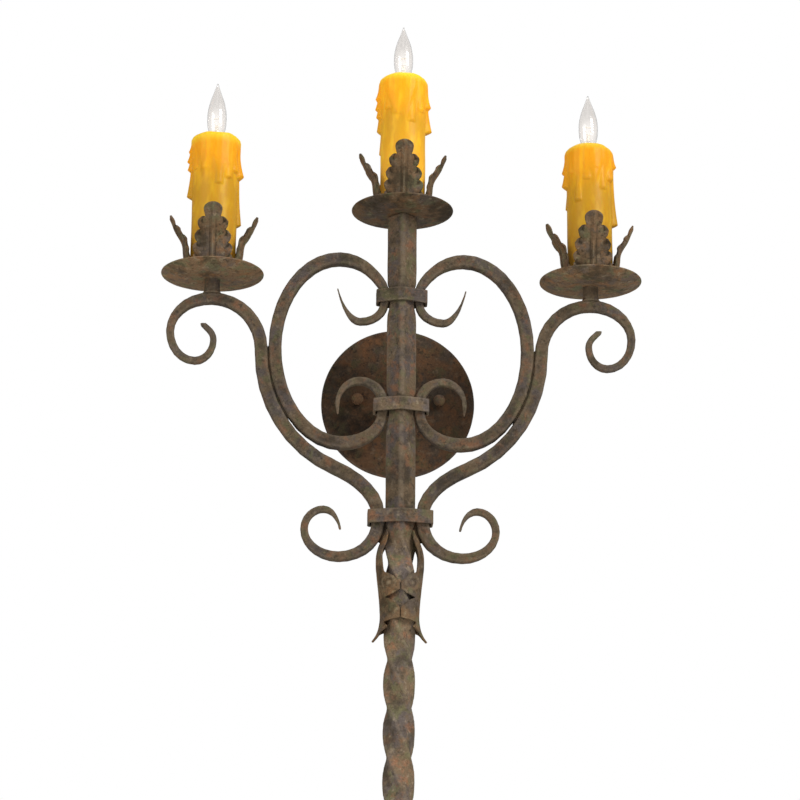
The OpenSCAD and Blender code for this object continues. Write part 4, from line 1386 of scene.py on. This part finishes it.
@dataclass
class LeafCup:
    """Four acanthus leaves that stand round a candle on the pan's floor."""

    height: float = 63.5 * MM
    base_r: float = 29 * MM
    tip_r: float = 49.3 * MM
    width: float = 42.5 * MM
    sheet: float = 1.6 * MM
    rib: float = 1.2 * MM
    # Height of the curled edges and depth of the hollows and creases, in mm
    curled: float = 0.9
    hollowed: float = 1.3
    creased: float = 1.1
    floor: float = -6.4 * MM
    hole_r: float = 5.3 * MM
    curve: float = 46 * MM
    foot_share: float = 0.14
    columns: int = 44
    rows: int = 110
    # The disc on the pan's floor that carries the leaves
    disc_r: float = 21.5 * MM
    disc_rise: float = 1.8 * MM
    dent: float = 0.15 * MM
    dent_face: float = 5 * MM
    # The leaf's length on the floor, its width there from end to end, in shares, and its lift
    foot_length: float = 10 * MM
    foot_narrow: float = 0.52
    foot_wide: float = 0.78
    lift: float = 0.1 * MM
    # Slow waves up the leaf: their depth, and how many half waves there are
    wave: float = 1.6 * MM
    half_waves: float = 3.4
    overhang: float = 1.5 * MM
    # Share of a lobe's height at which it is widest, and the same on the tip
    widest: float = 0.6
    tip_widest: float = 0.45
    lobes: tuple[Lobe, ...] = (
        Lobe(0, 0.2, 0.84, 0.98), Lobe(0.2, 0.39, 0.86, 1), Lobe(0.39, 0.585, 0.74, 0.92),
        Lobe(0.585, 0.775, 0.58, 0.77), Lobe(0.775, 1, 0.36, 0.45))
    # Share of the way from base to tip radius at even steps of the leaf's height
    flare: tuple[float, ...] = (0, 0.06, 0.17, 0.35, 0.62, 1)

    def lobe_at(self, share: float) -> tuple[int, float]:
        """Which lobe a height lies in.

        Args:
            share: from 0 at the foot to 1 at the tip.

        Returns:
            The lobe's index, and how far up that lobe the height is.
        """
        for index, lobe in enumerate(self.lobes):
            if share <= lobe.top or index == len(self.lobes) - 1:
                return index, min(1.0, (share - lobe.foot) / (lobe.top - lobe.foot))
        raise ValueError(share)

    def half_width(self, share: float) -> float:
        """Half the leaf's width at a share of its height.

        Args:
            share: from 0 at the foot to 1 at the tip.

        Returns:
            The half width in metres.
        """
        index, up = self.lobe_at(share)
        lobe = self.lobes[index]
        swell = lobe.wide - lobe.notch
        if index == len(self.lobes) - 1 and up > self.tip_widest:
            wide = lobe.wide * math.sqrt(max(0.004, 1 - ((up - self.tip_widest) / 0.56) ** 2))
        elif up <= self.widest:
            wide = lobe.notch + swell * math.sqrt(max(0.0, 1 - (1 - up / self.widest) ** 2))
        else:
            ahead = self.lobes[min(index + 1, len(self.lobes) - 1)].notch
            fall = (up - self.widest) / (1 - self.widest)
            wide = blend(lobe.notch, ahead, fall) + swell * math.sqrt(max(0.0, 1 - fall**2))
        return wide * self.width / 2

    def relief(self, share: float, across: float, half: float) -> float:
        """How far the leaf stands out of its plain sheet.

        Args:
            share: height on the leaf, from 0 to 1.
            across: place across it, from -1 to 1.
            half: half width there.

        Returns:
            The relief in metres, towards the room.
        """
        index, up = self.lobe_at(share)
        off = abs(across)
        x = off * half
        fade = ease(1.0, 0.93, share)
        midrib = self.rib * (bump(x, 1.5 * MM) - 0.6 * bump(x - 3.4 * MM, 1.3 * MM))
        creases = sum(bump(share - lobe.foot + 0.24 * (1 - off), 0.022) for lobe in self.lobes[1:])
        creases *= ease(0.4, 0.85, off)
        if index == len(self.lobes) - 1:
            hollow = bump(up - 0.5, 0.3) * bump(off - 0.6, 0.28)
        else:
            hollow = bump(up - 0.6, 0.24) * bump(off - 0.72, 0.2)
        curl = ease(0.82, 1.0, off) * bump(up - 0.6, 0.4)
        return fade * (midrib + MM * (self.curled * curl - self.hollowed * hollow - self.creased * creases))

    def leaf(self) -> bmesh.types.BMesh:
        """The front leaf's outer face, with the pan's rim at height 0.

        Returns:
            A sheet that looks to the front.
        """
        bm = bmesh.new()
        bmesh.ops.create_grid(bm, x_segments=self.columns, y_segments=self.rows, size=1.0)
        flare = [[value] for value in self.flare]
        for vert in bm.verts:
            across, up = vert.co.x, (1 + vert.co.y) / 2
            if up < self.foot_share:
                turn = math.radians(90 * up / self.foot_share)
                radius = self.base_r - self.foot_length * (1 - math.sin(turn))
                height = self.floor * math.cos(turn) + self.lift
                half = blend(self.foot_narrow, self.foot_wide, up / self.foot_share) * self.width / 2
                out = 0.0
            else:
                share = (up - self.foot_share) / (1 - self.foot_share)
                radius = blend(self.base_r, self.tip_r, along(flare, share)[0])
                height = share * self.height
                half = self.half_width(share)
                out = self.relief(share, across, half)
                out += self.wave * math.sin(self.half_waves * math.pi * share) * ease(0.2, 0.6, share)
            x = across * half
            radius = min(radius + out, self.tip_r + self.overhang) - x * x / (2 * self.curve)
            vert.co = Vector((x, -radius, height))
        return bm

    def build(self, side: Side, centre: Vector) -> bpy.types.Object:
        """Makes the cup of one light.

        Args:
            side: which light.
            centre: the middle of its pan's rim.

        Returns:
            The piece.
        """
        disc_z = self.floor + self.disc_rise
        cup = spun([(self.hole_r, disc_z), (self.disc_r, disc_z)], 48, closed=False)
        if sum(face.normal.z for face in cup.faces) < 0:
            bmesh.ops.reverse_faces(cup, faces=cup.faces)
        for quarter in range(4):
            leaf = self.leaf()
            turn = Matrix.Rotation(quarter * math.pi / 2, 3, "Z")
            bmesh.ops.rotate(leaf, verts=leaf.verts, cent=(0, 0, 0), matrix=turn)
            added(cup, leaf)
        bmesh.ops.translate(cup, vec=centre, verts=cup.verts)
        hammer(cup, self.dent, self.dent_face, len(side.value))
        piece = hang("acanthus_cup_" + side.value, cup, SHEET, "root", ["leaf_cup_" + side.value],
                     edge_gain=3.0)
        thicken(piece, self.sheet, levels=0)
        return piece


@dataclass
class DripPan:
    """The dished pan under a candle."""

    depth: float = 6.4 * MM
    sheet: float = 2 * MM
    floor_r: float = 30 * MM
    hole_r: float = 5.3 * MM
    curl: float = 1.6
    dent: float = 0.35 * MM
    dent_face: float = 13 * MM
    stretch: float = 2.2 * MM
    rings: int = 14
    steps: int = 160

    def dish(self, radius: float, rim: float) -> float:
        """Height of the pan's upper face at a radius."""
        return self.depth * (max(0.0, (radius - self.floor_r) / (rim - self.floor_r)) ** self.curl - 1)

    def build(self, side: Side, centre: Vector, tone: float) -> bpy.types.Object:
        """Makes the pan of one light.

        Args:
            side: which light.
            centre: the middle of its rim.
            tone: how far its colour is scaled, about 1: painted light and shade on the pan.

        Returns:
            The piece.
        """
        node = "pan_" + side.value
        low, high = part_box(node)
        rim = (high.x - low.x) / 2
        radii = [blend(self.floor_r, rim - self.sheet / 2, i / self.rings) for i in range(self.rings + 1)]
        upper = [(self.hole_r, -self.depth)] + [(r, self.dish(r, rim)) for r in radii]
        lower = [(r, z - self.sheet) for r, z in reversed(upper)]
        lip = arc((rim - self.sheet / 2, upper[-1][1] - self.sheet / 2), self.sheet / 2, 70, -70, 6)
        bm = spun(rounded(upper + lip + lower, self.stretch), self.steps, closed=True)
        bmesh.ops.translate(bm, vec=centre, verts=bm.verts)
        hammer(bm, self.dent, self.dent_face, len(side.value) + 0.3)
        return hang("hammered_pan_" + side.value, bm, SHEET, "root", [node], edge_gain=3.0, tone=tone)


@dataclass
class CandleCover:
    """A resin candle cover with run wax over its upper part."""

    side: Side
    drips: tuple[Drip, ...]
    shoulder: float
    # Tones of the wax over its body and at its foot: painted light and shade
    tone: float
    foot_light_tone: float
    body_r: float = 24.3 * MM
    bore_r: float = 12 * MM
    lip_r: float = 1.5 * MM
    bore_top: float = 6 * MM
    rows: int = 250
    steps: int = 224
    seed: int = 1
    # The wax coat's length under the top, in mm, and the waves in its edge: height in mm, how many go round
    # the candle, and their turn for each step of the seed
    coat: float = 46.0
    coat_waves: tuple[tuple[float, float, float], ...] = ((9, 3, 1), (6, 5, -2), (5, 9, 0))
    # The coat's thickness at the top and at its edge, and the depth of its flutes, in mm
    coat_top: float = 2.6
    coat_foot: float = 1.5
    flute: float = 0.55
    # A drip's thickness where it starts, as a share of its bead's, and how late it swells to that
    drip_start: float = 0.22
    drip_late: float = 2.6
    # How far drips stand out on the front and on the outline, next to their own measure
    front_drips: float = 0.66
    side_drips: float = 1.32
    # Slow waves of the body, how far the top has melted, and down to how many mm under it
    wave: float = 0.35 * MM
    melt: float = 1.6 * MM
    melted: float = 10.0
    full_run: float = 3 * MM

    def wax_edge(self, heading: float) -> float:
        """Length of the run wax under the top at a heading in degrees, in mm."""
        a = math.radians(heading)
        waves = (high * math.sin(count * a + turn * self.seed) for high, count, turn in self.coat_waves)
        return sum(waves, self.coat)

    def run_of_wax(self, heading: float, down: float) -> float:
        """Thickness of the wax over the candle's body.

        Args:
            heading: degrees from the front, to the right.
            down: distance under the top, in mm.

        Returns:
            The thickness in metres.
        """
        edge = self.wax_edge(heading)
        round_place = Vector((math.cos(math.radians(heading)), math.sin(math.radians(heading)), self.seed))
        flutes = self.flute * noise.noise(round_place * 6 + Vector((0, 0, down / 90)))
        cover = ease(edge + 3, edge - 16, down)
        thick = (blend(self.coat_top, self.coat_foot, min(1.0, down / edge)) + flutes) * cover
        total = max(0.0, thick) ** 4
        for drip in self.drips:
            turn = (heading - drip.heading + 180) % 360 - 180
            off = abs(math.radians(turn)) * self.body_r / MM
            wide = drip.wide * (0.75 + 0.25 * ease(drip.down - 22, drip.down - 4, down))
            if off >= wide or down > drip.down:
                continue
            cross = (1 - (off / wide) ** 2) ** 0.85
            end = min(1.0, (drip.down - down) / (0.5 * drip.wide)) ** 0.6
            swell = blend(self.drip_start, 1.0, max(0.0, down / drip.down) ** self.drip_late)
            sideways = math.sin(math.radians(drip.heading)) ** 4
            proud = drip.proud * blend(self.front_drips, self.side_drips, sideways)
            total += (proud * cross * end * swell * ease(-4, 14, down)) ** 4
        return total**0.25 * MM

    def profile(self, tall: float) -> list[tuple[float, float]]:
        """The cover's section before any wax has run.

        Args:
            tall: the cover's height.

        Returns:
            Points [radius, height], up the outside, over the top and down the bore.
        """
        start, lip_out = self.body_r - self.shoulder, self.bore_r + self.lip_r
        wall = [(self.body_r, blend(0.0, tall - self.shoulder, i / self.rows)) for i in range(self.rows + 1)]
        round_top = arc((start, tall - self.shoulder), self.shoulder, 5, 90, 14)
        crown = [(blend(start, lip_out, i / 6), tall) for i in range(1, 7)]
        lip = arc((lip_out, tall - self.lip_r), self.lip_r, 95, 180, 5)
        bore = [(self.bore_r, blend(tall - self.bore_top, 0.0, i / 12)) for i in range(13)]
        under = [(blend(self.bore_r, self.body_r - 1 * MM, i / 4), 0.0) for i in range(1, 5)]
        return wall + round_top + crown + lip + bore + under

    def build(self) -> bpy.types.Object:
        """Makes the candle cover over its node.

        Returns:
            The piece.
        """
        node = "candle_" + self.side.value
        low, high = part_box(node)
        pan_low, pan_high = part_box("pan_" + self.side.value)
        axis = (pan_low + pan_high) / 2
        tall = high.z - low.z
        start = self.body_r - self.shoulder
        bm = spun(self.profile(tall), self.steps, closed=True)
        heights, runs = [], []
        for vert in bm.verts:
            radius = math.hypot(vert.co.x, vert.co.y)
            heading = math.degrees(math.atan2(vert.co.x, -vert.co.y))
            down = (tall - vert.co.z) / MM
            inner = ease(self.bore_r + 2 * MM, start + 2 * MM, radius)
            run = self.run_of_wax(heading, down) * inner if radius > self.bore_r + 1 * MM else 0.0
            swell = self.wave * noise.noise(Vector((heading / 40, down / 30, self.seed)))
            if radius > start:
                grown = (radius + run + swell * inner) / max(radius, MERGE)
                vert.co.x *= grown
                vert.co.y *= grown
            melt = self.melt * inner * (noise.noise(Vector((vert.co.x, vert.co.y, 0)) * 60) - 0.35)
            vert.co.z += melt * ease(self.melted, 0, down)
            vert.co.z = min(vert.co.z, tall)
            heights.append(1 - down * MM / tall)
            runs.append(run / self.full_run)
        bmesh.ops.translate(bm, vec=(axis.x, axis.y, low.z), verts=bm.verts)
        piece = hang("wax_candle_" + self.side.value, bm, WAX, node, [node], edge_gain=4.0, passes=3)
        # Painted light and shade: the tone runs from the foot's value up to the body's
        tones = [blend(self.foot_light_tone, self.tone, ease(0.0, 0.7, height)) for height in heights]
        write_attribute(piece.data, HEIGHT, heights)
        write_attribute(piece.data, RUN, runs)
        write_attribute(piece.data, TONE, tones)
        return piece


@dataclass
class FlameBulb:
    """A clear candelabra bulb with a drawn tip."""

    side: Side
    drawn: float = 0.0
    wall: float = 0.5 * MM
    tip: float = 0.6 * MM
    rings: int = 64
    hollow_rings: int = 56
    steps: int = 72
    # Share of the height and share of the largest radius
    flame: tuple[tuple[float, float], ...] = (
        (0, 0.52), (0.06, 0.6), (0.14, 0.77), (0.22, 0.9), (0.31, 0.98), (0.4, 1), (0.5, 0.97), (0.6, 0.87),
        (0.69, 0.73), (0.77, 0.56), (0.84, 0.4), (0.9, 0.27), (0.95, 0.17), (0.985, 0.11), (1, 0.06))

    def build(self) -> bpy.types.Object:
        """Blows the bulb over its node.

        Returns:
            The piece.
        """
        node = "bulb_glass_" + self.side.value
        low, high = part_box(node)
        centre = (low + high) / 2
        reach, tall = (high.x - low.x) / 2, high.z - low.z + self.drawn
        outer = [along(self.flame, i / self.rings) for i in range(self.rings + 1)]
        outer = [(max(0.0, share * reach), up * tall) for up, share in outer]
        inner = [(r - self.wall, z) for r, z in outer[:self.hollow_rings]]
        profile = outer + [(0.0, tall), (0.0, inner[-1][1] + self.tip)] + inner[::-1]
        bm = spun(profile, self.steps, closed=True)
        heights = [vert.co.z / tall for vert in bm.verts]
        bmesh.ops.translate(bm, vec=(centre.x, centre.y, low.z), verts=bm.verts)
        piece = hang("blown_bulb_" + self.side.value, bm, GLASS, "bulb_" + self.side.value, [node])
        write_attribute(piece.data, HEIGHT, heights)
        return piece


CANDLE_DRIPS: dict[Side, tuple[Drip, ...]] = {
    Side.LEFT: (
        Drip(-86, 19, 6, 5.0), Drip(-90, 30, 5.5, 5.8), Drip(-86, 40, 5, 5.0), Drip(-92, 70, 5.5, 4.8),
        Drip(-59, 41, 6, 3.8), Drip(-27, 44, 5.5, 3.9), Drip(-3, 30, 7, 4.1), Drip(12, 61, 4.6, 3.9),
        Drip(36, 53, 5.5, 4.0), Drip(60, 44, 6, 4.0), Drip(84, 48, 7, 6.0), Drip(94, 101, 4.4, 3.8),
        Drip(128, 58, 6, 4.6), Drip(160, 74, 5, 4.0), Drip(-160, 44, 6, 4.2), Drip(-124, 84, 5, 4.2)),
    Side.CENTRE: (
        Drip(-86, 29, 6.5, 5.8), Drip(-92, 40, 6, 5.6), Drip(-86, 50, 5, 4.6), Drip(-90, 66, 5, 3.6),
        Drip(-46, 44, 6, 3.4), Drip(-16, 52, 7, 3.6), Drip(20, 60, 5.5, 3.6), Drip(50, 46, 6, 3.8),
        Drip(86, 38, 6.5, 5.6), Drip(92, 65, 5.5, 6.0), Drip(126, 70, 5, 4.2), Drip(158, 50, 6, 4.2),
        Drip(-152, 62, 6, 4.2), Drip(-118, 88, 5, 4.0)),
    Side.RIGHT: (
        Drip(-88, 34, 6, 5.0), Drip(-84, 50, 5.5, 5.0), Drip(-58, 38, 6, 4.0), Drip(-36, 70, 5, 4.2),
        Drip(-12, 46, 6, 3.8), Drip(12, 34, 6, 4.0), Drip(34, 56, 5.5, 4.0), Drip(60, 44, 6, 4.2),
        Drip(86, 26, 6, 5.2), Drip(90, 92, 5, 5.2), Drip(124, 60, 6, 4.4), Drip(158, 78, 5, 4.0),
        Drip(-156, 48, 6, 4.2), Drip(-122, 70, 5, 4.2))}


@dataclass
class TorchLight:
    """One light: its pan, leaf cup, candle cover, bulb and inner hardware."""

    side: Side
    shoulder: float
    seed: int
    # Tone of the pan: painted light and shade on its underside, lighter on the side pans than on the centre
    # one
    pan_light_tone: float
    # Tones of the candle's wax over its body and at its foot: painted light and shade that differs from candle
    # to candle
    wax_light_tone: float = 0.92
    foot_light_tone: float = 0.98
    drawn: float = 0.0
    cup: LeafCup = field(default_factory=LeafCup)
    pan: DripPan = field(default_factory=DripPan)

    def centre(self) -> Vector:
        """Middle of the pan's rim."""
        low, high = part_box("pan_" + self.side.value)
        return Vector(((low.x + high.x) / 2, (low.y + high.y) / 2, high.z))

    def build(self) -> list[bpy.types.Object]:
        """Makes the light's visible pieces.

        Returns:
            The pieces.
        """
        centre = self.centre()
        candle = CandleCover(self.side, CANDLE_DRIPS[self.side], self.shoulder, self.wax_light_tone, self.foot_light_tone,
                             seed=self.seed)
        return [self.pan.build(self.side, centre, self.pan_light_tone), self.cup.build(self.side, centre),
                candle.build(), FlameBulb(self.side, self.drawn).build()]

    def dress(self) -> None:
        """Gives the inner hardware its finishes."""
        finishes = {"nipple_": ZINC, "socket_bracket_": ZINC, "pan_nut_": BRASS, "socket_shell_": BRASS,
                    "socket_contact_": BRASS, "bulb_base_": BRASS, "socket_body_": PHENOLIC,
                    "bulb_filament_": FILAMENT}
        for prefix, finish in finishes.items():
            dress_node(prefix + self.side.value, finish)


@dataclass
class WallHardware:
    """What lies behind the backplate."""

    steel: tuple[str, ...] = ("wall_bracket", "canopy_studs", "post_nut")
    brass: tuple[str, ...] = ("ground_screw",)

    def dress(self) -> None:
        """Gives the hidden hardware its finishes."""
        for node in self.steel:
            dress_node(node, ZINC)
        for node in self.brass:
            dress_node(node, BRASS)


# ----------------------------------------------------------------------- studio


@dataclass(frozen=True)
class SoftBox:
    """A large square lamp."""

    name: str
    place: tuple[float, float, float]
    size: float
    power: float


@dataclass
class Studio:
    """Plain pale floor, white surroundings, soft lamps and the camera."""

    floor_z: float = -0.96
    floor_size: float = 40.0
    floor_grey: Colour = (0.86, 0.86, 0.855)
    floor_pale: Colour = (0.9, 0.9, 0.895)
    floor_cloud: float = 0.4
    floor_rough: float = 0.9
    surround: float = 0.28
    camera_place: tuple[float, float, float] = (-0.1196, -2.9182, -0.9088)
    pitch: float = 17.4
    yaw: float = 2.4
    roll: float = -0.42
    lens: float = 126.0
    sensor: float = 36.0
    sight: float = 200.0
    aim: tuple[float, float, float] = (0.0, -0.08, 0.0)
    lamps: tuple[SoftBox, ...] = (
        SoftBox("key_lamp", (2.1, -2.2, 1.6), 1.5, 74.0),
        SoftBox("fill_lamp", (-2.4, -2.0, 0.8), 2.0, 32.0),
        SoftBox("low_lamp", (0.2, -2.6, -0.7), 1.4, 8.0),
        SoftBox("top_lamp", (0.0, 0.5, 2.8), 1.6, 14.0))

    def surroundings(self) -> None:
        """Makes the world white where it is seen and gentler where it lights."""
        world = bpy.data.worlds.new("white_surroundings")
        world.use_nodes = True
        bpy.context.scene.world = world
        graph = Graph(world.node_tree)
        rays = graph.add("LightPath")
        seen = graph.maths("MAXIMUM", rays.outputs["Is Camera Ray"], rays.outputs["Is Transmission Ray"])
        strength = graph.maths("ADD", graph.maths("MULTIPLY", seen, 1 - self.surround), self.surround)
        backdrop = world.node_tree.nodes["Background"]
        backdrop.inputs["Color"].default_value = (1, 1, 1, 1)
        graph.feed(backdrop.inputs["Strength"], strength)

    def floor(self) -> None:
        """Lays the pale floor, which is clear seen from below."""
        bm = bmesh.new()
        bmesh.ops.create_grid(bm, x_segments=1, y_segments=1, size=self.floor_size / 2)
        bmesh.ops.translate(bm, vec=(0, 0, self.floor_z), verts=bm.verts)
        mesh = bpy.data.meshes.new("floor")
        bm.to_mesh(mesh)
        bm.free()
        material = bpy.data.materials.new("pale_floor")
        material.use_nodes = True
        graph = Graph(material.node_tree)
        shader = material.node_tree.nodes["Principled BSDF"]
        cloud = graph.cloud(graph.place(), self.floor_cloud, detail=2)
        graph.feed(shader.inputs["Base Color"], graph.mix(cloud, self.floor_grey, self.floor_pale))
        shader.inputs["Roughness"].default_value = self.floor_rough
        below = graph.add("NewGeometry").outputs["Backfacing"]
        clear = graph.add("BsdfTransparent")
        mix = graph.add("MixShader")
        graph.feed(mix.inputs[0], below)
        graph.feed(mix.inputs[1], shader.outputs["BSDF"])
        graph.feed(mix.inputs[2], clear.outputs["BSDF"])
        graph.feed(material.node_tree.nodes["Material Output"].inputs["Surface"], mix.outputs[0])
        mesh.materials.append(material)
        plane = bpy.data.objects.new("floor", mesh)
        bpy.context.scene.collection.objects.link(plane)

    def light(self) -> None:
        """Hangs the lamps, all aimed at the middle of the sconce."""
        for box in self.lamps:
            lamp = bpy.data.lights.new(box.name, "AREA")
            lamp.size, lamp.energy = box.size, box.power
            holder = bpy.data.objects.new(box.name, lamp)
            holder.location = box.place
            holder.rotation_euler = (Vector(self.aim) - Vector(box.place)).to_track_quat("-Z", "Y").to_euler()
            bpy.context.scene.collection.objects.link(holder)

    def camera(self) -> None:
        """Stands the camera a little to the left and well below, looking up."""
        pitch, yaw, roll = (math.radians(angle) for angle in (self.pitch, self.yaw, self.roll))
        ahead = Vector((math.sin(yaw) * math.cos(pitch), math.cos(yaw) * math.cos(pitch), math.sin(pitch)))
        level = Vector((math.cos(yaw), -math.sin(yaw), 0))
        above = level.cross(ahead)
        right = level * math.cos(roll) - above * math.sin(roll)
        up = level * math.sin(roll) + above * math.cos(roll)
        data = bpy.data.cameras.new("camera")
        data.sensor_width, data.lens, data.clip_end = self.sensor, self.lens, self.sight
        camera = bpy.data.objects.new("camera", data)
        turned = Matrix((right, up, -ahead)).transposed().to_4x4()
        camera.matrix_world = Matrix.Translation(self.camera_place) @ turned
        bpy.context.scene.collection.objects.link(camera)
        bpy.context.scene.camera = camera

    def build(self) -> None:
        """Sets up the whole studio."""
        bpy.context.scene.view_settings.view_transform = "Standard"
        self.surroundings()
        self.floor()
        self.light()
        self.camera()


def main() -> None:
    """Builds and dresses the sconce, part by part."""
    logging.basicConfig(level=logging.INFO, format="%(message)s")
    Studio().build()
    LOG.info("ironwork: %d pieces", len(Ironwork().build()))
    LOG.info("weld beads: %d pieces", len(WeldAndShadeBeads().build()))
    LOG.info("leaf clasps: %d pieces", len(LeafClasps().build()))
    LOG.info("canopy: %d pieces", len(Canopy().build()))
    lights = (
        TorchLight(Side.LEFT, shoulder=3.4 * MM, seed=1, pan_light_tone=1.32, drawn=4 * MM),
        TorchLight(Side.CENTRE, shoulder=9 * MM, seed=2, pan_light_tone=0.85, wax_light_tone=1.1, foot_light_tone=2.0),
        TorchLight(Side.RIGHT, shoulder=12 * MM, seed=3, pan_light_tone=1.25, wax_light_tone=0.88, foot_light_tone=0.8))
    for light in lights:
        LOG.info("%s light: %d pieces", light.side.value, len(light.build()))
        light.dress()
    WallHardware().dress()


if __name__ == "__main__":
    main()
